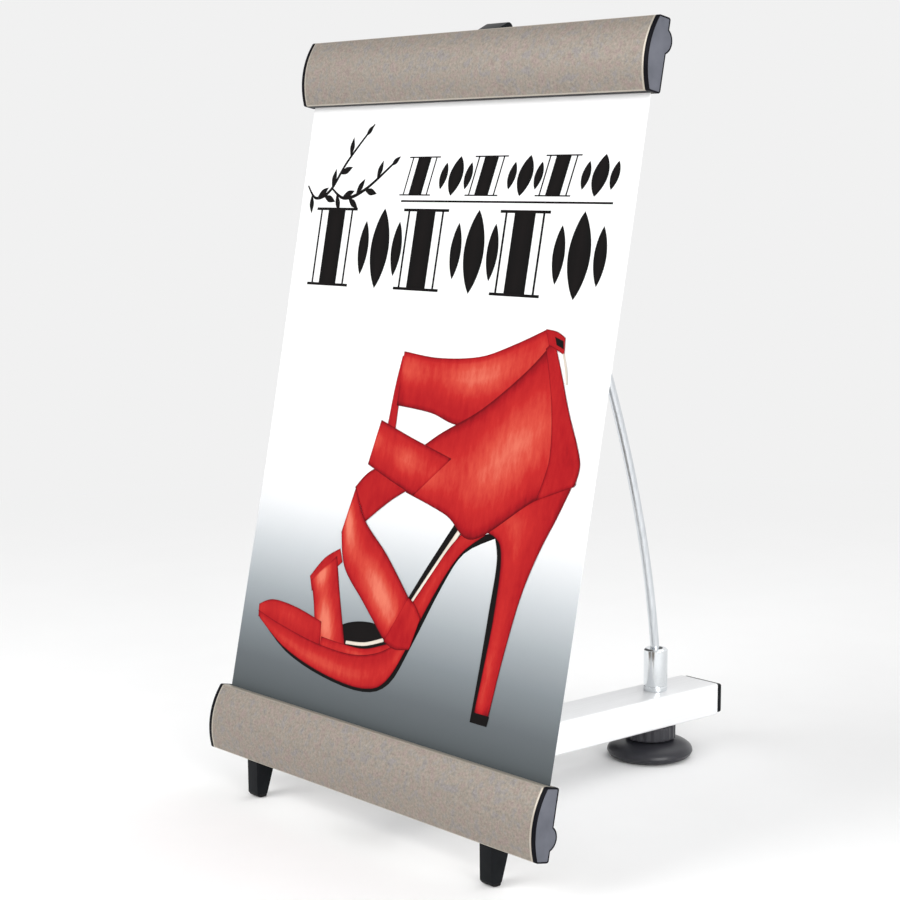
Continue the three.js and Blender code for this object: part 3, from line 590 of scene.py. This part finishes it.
def border(rows, columns):
    """The (row, column) places round the edge of a grid with that many cells."""
    return ([(0, c) for c in range(columns)] + [(r, columns) for r in range(rows)]
            + [(rows, c) for c in range(columns, 0, -1)] + [(r, 0) for r in range(rows, 0, -1)])


def closed_layer(mesh, front, back, look, back_look):
    """Faces over two grids of vertices, and round the edge between them."""
    rows, columns = len(front) - 1, len(front[0]) - 1
    for grid, material in ((front, look), (back, back_look)):
        for low, high in zip(grid, grid[1:]):
            for c in range(columns):
                face = mesh.faces.new((low[c], low[c + 1], high[c + 1], high[c]))
                face.material_index = material
    edge = border(rows, columns)
    for (r, c), (s, d) in zip(edge, edge[1:] + edge[:1]):
        mesh.faces.new((front[r][c], front[s][d], back[s][d], back[r][c])).material_index = look


def banner():
    """The film as one closed thin sheet, from inside the cassette's mouth to inside the top rail's."""
    thickness = 0.22
    columns, rows = 48, 96
    low, high = -8.0, BANNER_VISIBLE + 8.0
    mesh = bmesh.new()
    layer = mesh.verts.layers.float.new("up_banner")
    grids = []
    for side in (-thickness / 2, thickness / 2):
        grid = []
        for r in range(rows + 1):
            up = low + (high - low) * r / rows
            line = []
            for c in range(columns + 1):
                x = BANNER_WIDTH * (c / columns - 0.5)
                vert = mesh.verts.new((x, sheet_back(x, up) + side, up))
                vert[layer] = up / BANNER_VISIBLE
                line.append(vert)
            grid.append(line)
        grids.append(grid)
    closed_layer(mesh, *grids, look=0, back_look=1)
    bmesh.ops.recalc_face_normals(mesh, faces=mesh.faces)
    obj = piece("banner_film", mesh, LEANING, "cassette", [FILM, FILM_BACK], ["banner_sheet"])
    banner_squash(obj)


def curve(points, count):
    """`count` + 1 points along a Catmull-Rom curve through the points."""
    ends = [Vector(p) for p in (points[0], *points, points[-1])]
    line = []
    for k in range(count + 1):
        place = (len(points) - 1) * k / count
        i = min(int(place), len(points) - 2)
        t = place - i
        a, b, c, d = ends[i:i + 4]
        line.append(0.5 * (2 * b + (c - a) * t + (2 * a - 5 * b + 4 * c - d) * t * t
                           + (3 * b - a - 3 * c + d) * t ** 3))
    return line


def printed_patch(mesh, layer, first, second, level, look=0, lit=0.4, bright=0.6, along=32, across=10):
    """A thin closed layer of ink between two edge curves. It is lit along a line `lit` of the way across."""
    proud = PRINT_PROUD + PRINT_STEP * level
    front, back = [], []
    for s, (a, b) in enumerate(zip(curve(first, along), curve(second, along))):
        front.append([])
        back.append([])
        for k in range(across + 1):
            v = 0.5 - 0.5 * math.cos(math.pi * k / across)
            point = a.lerp(b, v)
            sweep = 0.75 + 0.25 * math.sin(3.2 * math.pi * s / along + level)
            glow = sweep * math.exp(-((v - lit) / 0.3) ** 2)
            edge = max(0.0, 1 - min(v, 1 - v) / 0.045) + 0.7 * max(0.0, 1 - min(s, along - s) / 1.5)
            for side, depth in ((front, proud), (back, proud - INK)):
                vert = mesh.verts.new((point.x, sheet_back(point.x, point.y) - depth, point.y))
                vert[layer] = 0.3 + bright * 0.6 * glow - 0.34 * edge
                side[-1].append(vert)
    closed_layer(mesh, front, back, look, look)


def printed(name, mesh, inks):
    """The finished print. Edges that meet in a point are joined there."""
    bmesh.ops.remove_doubles(mesh, verts=mesh.verts, dist=INK / 4)
    bmesh.ops.recalc_face_normals(mesh, faces=mesh.faces)
    banner_squash(piece(name, mesh, LEANING, "cassette", inks))


# A platform sandal, back to front: (one edge, other edge, look, where it is lit, how bright).
# Edges are (x, up) on the banner. Looks: 0 red satin, 1 black, 2 cream.
SHOE = (
    # sole and footbed
    (((-130, 48), (-98, 31), (-58, 22), (-18, 20), (5, 29), (20, 54), (39.5, 93), (54, 114), (78, 126)),
     ((-128, 52), (-98, 38), (-58, 30), (-18, 30), (0, 38), (14, 60), (34, 96), (49, 118), (78, 130)),
     1, 0.5, 0.2),
    (((9, 78), (24, 102), (44, 132)), ((14, 76), (29, 99), (54, 131)), 1, 0.5, 0.2),
    (((-60, 48), (-42, 58), (-20, 62), (4, 60)), ((-60, 43), (-40, 43), (-20, 44), (4, 50)), 1, 0.4, 0.5),
    (((-40, 47.5), (-22, 49.5), (-4, 55.5)), ((-40, 45.5), (-22, 47.3), (-4, 53)), 2, 0.5, 0.5),
    (((13, 79), (28, 101), (49, 131)), ((15.5, 77), (30.5, 99), (52, 130)), 2, 0.5, 0.8),
    (((14.5, 78), (29, 99), (42, 117), (56, 131)), ((18, 57), (37, 93), (52, 114), (70, 127)), 0, 0.5, 0.3),
    # toe straps
    (((-58, 102), (-72, 94), (-84, 81)), ((-54, 94), (-66, 84), (-80, 72)), 0, 0.5, 0.15),
    (((-82, 79), (-76, 64), (-69, 40)), ((-60, 97), (-52, 74), (-38, 38)), 0, 0.4, 1.0),
    # platform: its top, the band below the footbed, then its side
    (((-132, 56), (-118, 61), (-94, 60), (-66, 55)), ((-131, 48), (-112, 44), (-90, 41), (-64, 38)),
     0, 0.35, 0.3),
    (((-64, 46), (-40, 45), (-20, 46), (4, 54)), ((-64, 38), (-40, 38), (-18, 38), (10, 46)), 0, 0.5, 0.4),
    (((-132, 52), (-108, 47), (-66, 41), (-26, 41), (4, 52), (20, 74)),
     ((-129, 47), (-99, 33), (-58, 24), (-18, 22), (4, 32), (23, 66)), 0, 0.6, 0.5),
    # heel
    (((76, 130), (82, 114), (81.5, 84), (80.5, 52), (79, 22)),
     ((86, 130), (87, 112), (87, 84), (85, 52), (84, 22)), 1, 0.5, 0.2),
    (((56, 129), (77, 127), (85, 116), (86, 84), (84, 54), (81.5, 27)),
     ((134, 166), (125, 145), (114, 122), (105, 96), (98, 60), (93.5, 27)), 0, 0.35, 0.4),
    (((79.5, 27), (79, 21)), ((94, 27), (93, 21)), 1, 0.5, 0.3),
    # ankle
    (((-25, 224), (-28, 204), (-30, 178)), ((-19, 226), (-22, 204), (-22, 178)), 0, 0.5, 0.0),
    (((-24, 227), (8, 225), (44, 228), (72, 237), (96, 247)),
     ((-24, 194), (8, 192), (36, 187), (80, 196), (116, 212)), 0, 0.3, 0.75),
    (((8, 150), (-16, 137), (-38, 121)), ((-6, 164), (-38, 153), (-52, 141)), 0, 0.5, 0.1),
    (((103, 241), (84, 222), (52, 198), (18, 180), (-6, 164)),
     ((135, 163), (104, 150), (60, 123), (34, 134), (-4, 143)), 0, 0.5, 0.75),
    (((103, 241), (113, 221), (122, 202), (132, 184), (136, 173), (134, 162)),
     ((97, 236), (105, 214), (110, 194), (112, 176), (110, 164), (106, 151)), 0, 0.95, 0.1),
    # instep straps
    (((-51, 141), (-38, 122), (-13, 104), (13, 81)), ((-59, 112), (-51, 91), (-29, 73), (-4, 53)),
     0, 0.55, 0.95),
    (((12, 82), (18, 79), (25, 72)), ((-5, 53), (6, 50), (19, 52)), 0, 0.2, 0.2),
    (((-36, 184), (-6, 176), (32, 167)), ((-43, 156), (-18, 148), (3, 142)), 0, 0.45, 0.6),
    # zip pull at the top of the back
    (((95, 247), (104, 246), (111, 243)), ((99, 238), (105, 236), (112, 233)), 0, 0.5, 0.0),
    (((103, 243), (110, 241)), ((105, 238.5), (111, 236.5)), 1, 0.5, 0.4),
    (((112, 234), (115.5, 226), (118, 217)), ((110.6, 234), (114, 226), (116.6, 217)), 2, 0.5, 0.0),
)

# Rows of columns and leaves in place of a headline: (bottom, top, left end, cell width, cells, slant).
ORNAMENT_ROWS = (
    (322, 346, -50, 30, 6, 0.22),
    (264, 314, -130, 43.5, 6, 0.0),
)
# In parts of a cell: (left, right) of a column's uprights and of a group's leaves. A leaf's third number
# is how much shorter it is at each end, in parts of the row's height.
COLUMN = ((0.08, 0.12), (0.26, 0.66), (0.8, 0.84))
LEAVES = ((0.08, 0.3, 0.16), (0.36, 0.76, 0.0), (0.82, 1.04, 0.16))
# The rule between the rows: its left and right ends, bottom and top.
RULE = (-48, 132, 318, 319.2)
# Sprigs above the rows' left end: the points of each stem.
LEAF_LENGTH = 13.0
SPRIGS = (
    ((-144, 328), (-134, 320), (-120, 325), (-106, 344), (-84, 367)),
    ((-118, 326), (-104, 320), (-84, 326), (-56, 345)),
)


def printed_shoe():
    """The sandal, one layer of ink on the other."""
    mesh = bmesh.new()
    layer = mesh.verts.layers.float.new("shade")
    for level, (first, second, look, lit, bright) in enumerate(SHOE):
        printed_patch(mesh, layer, first, second, level, look, lit, bright)
    printed("printed_sandal", mesh, [RED, DARK_INK, CREAM_INK])


def stroke(mesh, layer, first, second, level, along=16):
    """A plain patch of an ornament between two edges."""
    printed_patch(mesh, layer, first, second, level, along=along, across=2)


def upright(mesh, layer, sides, heights, slant, base, level=0, leaf=False):
    """A stem between two sides, or a leaf pointed at both ends. It slants from the base up."""
    left, right = sides
    bottom, top = heights
    steps = 12
    edges = ([], [])
    for k in range(steps + 1):
        up = bottom + (top - bottom) * k / steps
        half = (right - left) / 2 * (math.sin(math.pi * k / steps) ** 0.8 if leaf else 1)
        middle = (left + right) / 2 + slant * (up - base)
        edges[0].append((middle - half, up))
        edges[1].append((middle + half, up))
    stroke(mesh, layer, *edges, level)


def ornament_row(mesh, layer, bottom, top, left, cell, count, slant):
    """Columns with a foot and a head, with groups of three leaves between them."""
    line = (top - bottom) * 0.035
    for i in range(count):
        at = left + cell * i
        if i % 2:
            for low, high, shrink in LEAVES:
                inset = (top - bottom) * shrink
                upright(mesh, layer, (at + cell * low, at + cell * high), (bottom + inset, top - inset),
                        slant, bottom, leaf=True)
        else:
            for low, high in COLUMN:
                upright(mesh, layer, (at + cell * low, at + cell * high), (bottom, top), slant, bottom)
            for low in (bottom, top - line):
                upright(mesh, layer, (at - cell * 0.02, at + cell * 0.94), (low, low + line),
                        slant, bottom, level=1)


def sprig(mesh, layer, points, level):
    """A stem with leaves on both sides and one at its tip."""
    steps = 40
    stem = curve(points, steps)
    for k in range(6, steps + 1, 5):
        along = (stem[k] - stem[k - 1]).normalized()
        out = Vector((-along.y, along.x)) * (1 if k % 2 else -1)
        tip = stem[k] + (along * 0.8 + out * (0 if k > 35 else 0.6)) * LEAF_LENGTH
        middle = (stem[k] + tip) / 2
        wide = Vector((tip.y - stem[k].y, stem[k].x - tip.x)) * 0.17
        stroke(mesh, layer, (stem[k], middle + wide, tip), (stem[k], middle - wide, tip), 3)
    edges = ([], [])
    for k, point in enumerate(stem):
        ahead = stem[min(k + 1, steps)] - stem[max(k - 1, 0)]
        half = 0.6 + 0.5 * math.sin(math.pi * k / steps)
        across = Vector((-ahead.y, ahead.x)).normalized() * half
        edges[0].append(point + across)
        edges[1].append(point - across)
    stroke(mesh, layer, *edges, level, along=steps)


def printed_ornaments():
    """Rows, a rule and sprigs with the weight of a headline, but no letters."""
    mesh = bmesh.new()
    layer = mesh.verts.layers.float.new("shade")
    for row in ORNAMENT_ROWS:
        ornament_row(mesh, layer, *row)
    left, right, low, high = RULE
    stroke(mesh, layer, ((left, low), (right, low)), ((left, high), (right, high)), 0, along=40)
    for level, points in enumerate(SPRIGS, 1):
        sprig(mesh, layer, points, level)
    printed("printed_ornaments", mesh, [DARK_INK])


# ------------------------------------------------ rod, socket and clip
def rod_point(travelled):
    """(y, z) of the rod's centre line at a distance from its foot in the socket."""
    middle = ROD_IN_SOCKET / 2
    straight = min(travelled, ROD_IN_SOCKET) - middle
    y = SOCKET_Y - straight * math.sin(ROD_SOCKET_ANGLE)
    z = SOCKET_TOP - middle + straight * math.cos(ROD_SOCKET_ANGLE)
    free = max(travelled - ROD_IN_SOCKET, 0)
    steps = 80
    for i in range(steps):
        share = (i + 0.5) * free / steps / ROD_LENGTH
        angle = ROD_SOCKET_ANGLE + (ROD_TIP_ANGLE - ROD_SOCKET_ANGLE) * (2 * share - share * share)
        y -= math.sin(angle) * free / steps
        z += math.cos(angle) * free / steps
    return Vector((0, y, z))


def rod():
    """The springy rod, drawn bent from its socket to its tip."""
    length = ROD_IN_SOCKET + ROD_LENGTH
    stations = [0, 0.5] + [length * i / 110 for i in range(1, 110)] + [length - 0.6, length]
    rings = []
    for place in stations:
        centre = rod_point(place)
        along = (rod_point(min(place + 1, length)) - rod_point(max(place - 1, 0))).normalized()
        out = Vector((1, 0, 0)).cross(along)
        radius = ROD_RADIUS - (0.5 if place in (0, length) else 0)
        rings.append([
            centre + radius * (math.cos(2 * math.pi * k / 28) * Vector((1, 0, 0))
                               + math.sin(2 * math.pi * k / 28) * out)
            for k in range(28)
        ])
    obj = piece("spring_rod", lofted(rings), CHASSIS, "rod", [ROD], ["flex_rod"], ride=False)
    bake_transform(obj)


def socket():
    """The chrome post on the arm, with a turned groove near its foot and a blind bore for the rod."""
    top = SOCKET_TOP
    profile = rounded([
        (0, ARM_TOP - 5.6, 0), (STUD_RADIUS, ARM_TOP - 5.6, 0.5), (STUD_RADIUS, ARM_TOP + 0.1, 0),
        (SOCKET_RADIUS, ARM_TOP + 0.1, 0.3), (SOCKET_RADIUS, ARM_TOP + 3, 0.2),
        (SOCKET_RADIUS - 0.35, ARM_TOP + 3.4, 0.15), (SOCKET_RADIUS, ARM_TOP + 3.8, 0.2),
        (SOCKET_RADIUS, top - 1.2, 0.4), (SOCKET_RADIUS - 1.2, top, 0.4), (SOCKET_BORE + 0.7, top, 0.2),
        (SOCKET_BORE, top - 0.7, 0.2), (SOCKET_BORE, top - SOCKET_BORE_DEPTH, 0),
        (0, top - SOCKET_BORE_DEPTH, 0),
    ], closed=False, steps=4)
    piece("rod_holder", turned(profile, SOCKET_Y), CHASSIS, "cassette", [CHROME], ["rod_socket"])


def clip():
    """The hanger clip: a hood on the top rail's back with a blind cup that takes the rod's tip."""
    to_rail = TOP_RAIL.inverted() @ CHASSIS
    length = ROD_IN_SOCKET + ROD_LENGTH
    tip = to_rail @ rod_point(length)
    along = (tip - to_rail @ rod_point(length - 6)).normalized()
    out = Vector((0, along.z, -along.y))

    def at(up, back, corner):
        """A corner placed along the rod from its tip, and behind its centre line."""
        point = tip + along * up + out * back
        return (point.y, point.z, corner)

    front = RAIL_BACK + GAP
    outline = rounded([
        (front, CLIP_FOOT, 0.6), (front, RAIL_HEIGHT - 1, 0.5), at(CUP_ROOF, -CUP_HALF, 2.5),
        at(CUP_ROOF, CUP_HALF, 3.0), at(-CUP_DEPTH, CUP_HALF, 1.0), at(-CUP_DEPTH, -CUP_HALF, 1.0),
        (CLIP_BACK, CLIP_SHELF, 1.5), (CLIP_BACK, CLIP_STEP, 2.0), (CLIP_FOOT_BACK, CLIP_FOOT, 1.0),
    ])
    body = drawn(outline, "X", -CLIP_WIDTH / 2, CLIP_WIDTH / 2, bevel=1.0, bevel_steps=3)
    axis = (CHAMBER_BACK, CHAMBER_HEIGHT)
    bump = bar((-CLIP_WIDTH, *axis), (CLIP_WIDTH, *axis), CHAMBER_OUTER + GAP, 96)
    cup = bar(tip + along * 0.6, tip - along * (CUP_DEPTH + 6), ROD_RADIUS + 0.5)
    piece("rod_clip", carved(body, bump, cup), TOP_RAIL, "top_rail", [BLACK],
          ["hanger_clip"], smooth=28)


# ------------------------------------------------ screws
def screw(name, matrix, at, direction, size, body, node):
    """A socket-head screw with a hexagon recess; its seat is at `at` and its shank points along direction."""
    head, height, shank, length = size
    profile = rounded([
        (0, -height, 0), (head, -height, height * 0.25), (head, 0, 0.1), (shank, 0, 0),
        (shank, length - 0.5, 0), (shank - 0.5, length, 0), (0, length, 0),
    ], closed=False, steps=4)
    body_mesh = turned(profile, segments=48)
    recess = bar((0, 0, -height - 1), (0, 0, -height * 0.4), head * 0.52, 6)
    mesh = carved(body_mesh, recess)
    turn = Vector((0, 0, 1)).rotation_difference(Vector(direction)).to_matrix().to_4x4()
    mesh.transform(Matrix.Translation(at) @ turn)
    piece(name, mesh, matrix, body, [STEEL], [node], smooth=30)


def build_screws():
    """The screws of the clip, the bracket and the arm tube."""
    for side, x in (("left", -CLIP_SCREW_X), ("right", CLIP_SCREW_X)):
        screw(f"clip_screw_{side}", TOP_RAIL, (x, CLIP_BACK + GAP, CHAMBER_HEIGHT), (0, -1, 0),
              CLIP_SCREW, "top_rail", f"hanger_screw_{side}")
    for side, x in (("left", FLANGE_SCREW_X), ("right", -FLANGE_SCREW_X)):
        for number, height in enumerate(FLANGE_SCREW_HEIGHTS, 1):
            screw(f"bracket_screw_{side}_{number}", CASSETTE, (x, FLANGE_BACK + GAP, height), (0, -1, 0),
                  FLANGE_SCREW, "cassette", f"flange_screw_{side}_{number}")
    for number, y in enumerate(TUBE_SCREW_PLACES, 1):
        screw(f"arm_screw_{number}", CHASSIS, (0, y, ARM_BOTTOM - 0.1), (0, 0, 1),
              TUBE_SCREW, "cassette", f"tube_screw_{number}")


# ------------------------------------------------ arm
def arm_outline(inset=0.0, corner=1.6):
    """The arm tube's rounded rectangle, inset on every side."""
    half = ARM_WIDTH / 2 - inset
    low, high = ARM_BOTTOM + inset, ARM_TOP - inset
    return rounded([(-half, low, corner), (half, low, corner), (half, high, corner), (-half, high, corner)])


def arm():
    """The tube, mitred at its front end to the leaning flange, and its push-in end cap."""
    plane = (FLANGE_BACK + GAP) * math.cos(LEAN)
    height = MOUTH_HEIGHT - (FLANGE_BACK + GAP) * math.sin(LEAN)

    def mitre(_, z):
        """The y of the flange's back at a height."""
        return plane + (z - height) * math.tan(LEAN)

    outer = drawn(arm_outline(), "Y", mitre, ARM_END, bevel=0.25)
    hollow = drawn(arm_outline(ARM_WALL, 0.4), "Y", -20.0, ARM_END + 20, bevel=0)
    piece("arm_beam", carved(outer, hollow), CHASSIS, "cassette", [WHITE], ["arm_tube"])
    end = drawn(arm_outline(0.9), "Y", ARM_END + 0.1, ARM_END + ARM_CAP, bevel=1.1, bevel_steps=4)
    piece("arm_beam_end", end, CHASSIS, "cassette", [BLACK], ["arm_end_cap"])


# ------------------------------------------------ feet
def foot_profile(bottom, top):
    """(y, z) points of a foot between two heights: raked back, upright front and rounded toe."""
    toe = FOOT_FRONT + FOOT_TOE
    turn = [math.pi + math.asin(max(0, (FOOT_TOE - height) / FOOT_TOE)) for height in (top, bottom)]
    points = [(FOOT_HEEL + FOOT_RAKE * bottom, bottom), (FOOT_HEEL + FOOT_RAKE * top, top)]
    if top > FOOT_TOE:
        points.append((FOOT_FRONT, top))
    return points + arc((toe, FOOT_TOE), FOOT_TOE, turn[0], turn[1], 10)


def front_foot(side, x):
    """A fin under the cassette's end, cut along the leaning rail above it, with a rubber sole."""
    to_stand = STAND.inverted() @ CASSETTE
    half = FOOT_WIDTH / 2
    fin = drawn(foot_profile(FOOT_SOLE, FOOT_BLANK_HEIGHT), "X", x - half, x + half, bevel=0)
    plane = to_stand @ Vector((0, 0, RAIL_HEIGHT + GAP))
    upward = (to_stand.to_3x3() @ Vector((0, 0, -1))).normalized()
    everything = fin.verts[:] + fin.edges[:] + fin.faces[:]
    cut = bmesh.ops.bisect_plane(fin, geom=everything, plane_co=plane, plane_no=upward, clear_outer=True)
    bmesh.ops.contextual_create(fin, geom=[e for e in cut["geom_cut"] if isinstance(e, bmesh.types.BMEdge)])
    softened(fin, 1.1, steps=4, angle=50)
    piece(f"peg_foot_{side}", fin, STAND, "cassette", [BLACK],
          [f"front_foot_{side}", f"foot_screw_{side}"], smooth=45)
    half -= 0.4
    sole = drawn(foot_profile(0, FOOT_SOLE - 0.1), "X", x - half, x + half, bevel=0.3)
    piece(f"peg_sole_{side}", sole, STAND, "cassette", [RUBBER], [f"foot_pad_{side}"])


def rear_foot():
    """The levelling foot: a domed round pad and a fluted hand wheel."""
    dome_height = PAD_TOP - PAD_RIM
    dome = [
        (PAD_RADIUS - PAD_DOME * (1 - math.cos(angle)), PAD_RIM + dome_height * math.sin(angle))
        for angle in (math.radians(6 * i) for i in range(16))
    ]
    low = rounded([(PAD_RECESS, 0, 0), (PAD_RADIUS - 4.8, 0, 1.5), (PAD_RADIUS - 1.4, 1.6, 2.0),
                   (PAD_RADIUS, PAD_RIM, 0)], closed=False, steps=6)
    inside = [(PAD_BORE, PAD_TOP), (PAD_BORE, PAD_RECESS_TOP), (PAD_RECESS, PAD_RECESS_TOP), (PAD_RECESS, 0)]
    profile = low[:-1] + dome + inside
    piece("levelling_pad", turned(profile, REAR_FOOT_Y), STAND, "foot_pad", [PAD],
          ["rear_foot_pad"])
    outline = []
    steps = HUB_FLUTES * 12
    for i in range(steps):
        angle = 2 * math.pi * i / steps
        radius = HUB_RADIUS - HUB_FLUTE_DEPTH + HUB_FLUTE_DEPTH * math.cos(HUB_FLUTES * angle)
        outline.append((radius * math.cos(angle), REAR_FOOT_Y + radius * math.sin(angle)))
    wheel = drawn(outline, "Z", PAD_TOP + HUB_GAP, ARM_BOTTOM - GAP, bevel=0.8, bevel_steps=3)
    piece("levelling_wheel", wheel, CHASSIS, "foot_hub", [PAD], ["rear_foot_hub"],
          smooth=50)


# ------------------------------------------------ CAD nodes that stay as they are
def finish_cad_nodes():
    """Better materials for the CAD nodes whose shapes stay."""
    looks = {
        "idle_pin": STEEL, "spring_axle": STEEL, "roller_tube": STEEL, "roller_spring": STEEL,
        "idle_plug": NYLON, "spring_bush": NYLON, "spring_plug": NYLON, "gripper_strip": BLACK,
        "arm_bracket": BLACK, "foot_nut": STEEL, "rear_foot_stud": STEEL, "rear_foot_ring": STEEL,
        "banner_winding": FILM_BACK,
    }
    for name, material in looks.items():
        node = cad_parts[name]
        node.data.materials.clear()
        node.data.materials.append(material)


# ------------------------------------------------ studio
BACKGROUND = 0.88


def floor_material():
    """A pale floor that fades to plain white far away, so no horizon shows."""
    shader = Shader("pale_floor", roughness=0.85, Specular_IOR_Level=0.2)
    patches = shader.noise(8)
    shader.set("Base Color", shader.ramp(patches, (0.4, (0.89, 0.89, 0.89)), (0.6, (0.9, 0.9, 0.9))))
    distance = shader.node("ShaderNodeVectorMath", {"operation": "LENGTH"}, Vector=shader.place)
    far = shader.node("ShaderNodeMapRange", Value=distance.outputs["Value"], From_Min=0.35, From_Max=1.3)
    glow = shader.node("ShaderNodeEmission", Color=(1, 1, 1, 1), Strength=BACKGROUND)
    blend = shader.node("ShaderNodeMixShader", Fac=far.outputs[0])
    output = shader.tree.nodes["Material Output"]
    shader.tree.links.new(shader.surface.outputs[0], blend.inputs[1])
    shader.tree.links.new(glow.outputs[0], blend.inputs[2])
    shader.tree.links.new(blend.outputs[0], output.inputs["Surface"])
    return shader.material


def white_world():
    """Off-white to the camera. As a light it has a dark band on the camera's left, to model round metal."""
    world = bpy.data.worlds.new("studio")
    world.use_nodes = True
    tree = world.node_tree

    def node(kind, **inputs):
        made = tree.nodes.new(kind)
        for key, value in inputs.items():
            socket = made.inputs[key.replace("_", " ")]
            if isinstance(value, bpy.types.NodeSocket):
                tree.links.new(value, socket)
            else:
                socket.default_value = value
        return made

    direction = tree.nodes.new("ShaderNodeTexCoord").outputs["Generated"]
    side = tree.nodes.new("ShaderNodeVectorMath")
    side.operation = "DOT_PRODUCT"
    tree.links.new(direction, side.inputs[0])
    side.inputs[1].default_value = (0.66, 0.75, 0)
    place = node("ShaderNodeMapRange", Value=side.outputs["Value"], From_Min=-1, From_Max=1)
    light = node("ShaderNodeValToRGB", Fac=place.outputs[0])
    stops = ((0.0, 0.55), (0.13, 0.6), (0.18, 0.1), (0.33, 0.12), (0.39, 0.75), (0.6, 0.95), (0.8, 1.0))
    elements = light.color_ramp.elements
    while len(elements) < len(stops):
        elements.new(0.5)
    for element, (position, strength) in zip(elements, stops):
        element.position = position
        element.color = (strength, strength, strength, 1)
    seen = node("ShaderNodeLightPath").outputs["Is Camera Ray"]
    strength = node("ShaderNodeMix", Factor=seen, A=light.outputs[0], B=BACKGROUND)
    tree.links.new(strength.outputs[0], tree.nodes["Background"].inputs["Strength"])
    tree.nodes["Background"].inputs["Color"].default_value = (1, 1, 1, 1)
    bpy.context.scene.world = world


def studio():
    """The floor, the world and three soft lamps that point at the object's middle."""
    data = bpy.data.meshes.new("floor")
    sheet = bmesh.new()
    bmesh.ops.create_grid(sheet, x_segments=1, y_segments=1, size=12)
    sheet.to_mesh(data)
    sheet.free()
    floor = bpy.data.objects.new("floor", data)
    bpy.context.scene.collection.objects.link(floor)
    data.materials.append(floor_material())
    floor.location.z = -0.0002
    white_world()

    target = Vector((0, 0, 0.22))
    lamps = (
        ("key", (-0.6, -2.0, 1.5), 1.6, 38),
        ("side", (2.0, -0.5, 0.7), 1.2, 26),
        ("top", (0.2, 1.2, 2.2), 1.6, 5),
    )
    for name, place, size, power in lamps:
        light = bpy.data.lights.new(name, "AREA")
        light.size = size
        light.energy = power
        lamp = bpy.data.objects.new(name, light)
        lamp.location = place
        lamp.rotation_euler = (target - Vector(place)).to_track_quat("-Z", "Y").to_euler()
        bpy.context.scene.collection.objects.link(lamp)


def camera():
    """A view from the object's right front, tipped with the chassis."""
    azimuth, elevation = math.radians(48.67), math.radians(7.51)
    data = bpy.data.cameras.new("camera")
    data.lens = 80.75
    data.sensor_width = 36
    view = bpy.data.objects.new("camera", data)
    turn = Euler((math.pi / 2 - elevation, 0, azimuth)).to_matrix()
    view.location = CHASSIS @ Vector((908.5, -740.6, 383.4))
    view.rotation_euler = (TIP_BACK.to_3x3() @ turn).to_euler()
    bpy.context.scene.collection.objects.link(view)
    bpy.context.scene.camera = view


build_rails()
banner()
printed_shoe()
printed_ornaments()
rod()
socket()
clip()
build_screws()
arm()
for foot_side, foot_x in (("left", -FOOT_X), ("right", FOOT_X)):
    front_foot(foot_side, foot_x)
rear_foot()
finish_cad_nodes()
studio()
camera()
bpy.context.scene.view_settings.view_transform = "Standard"
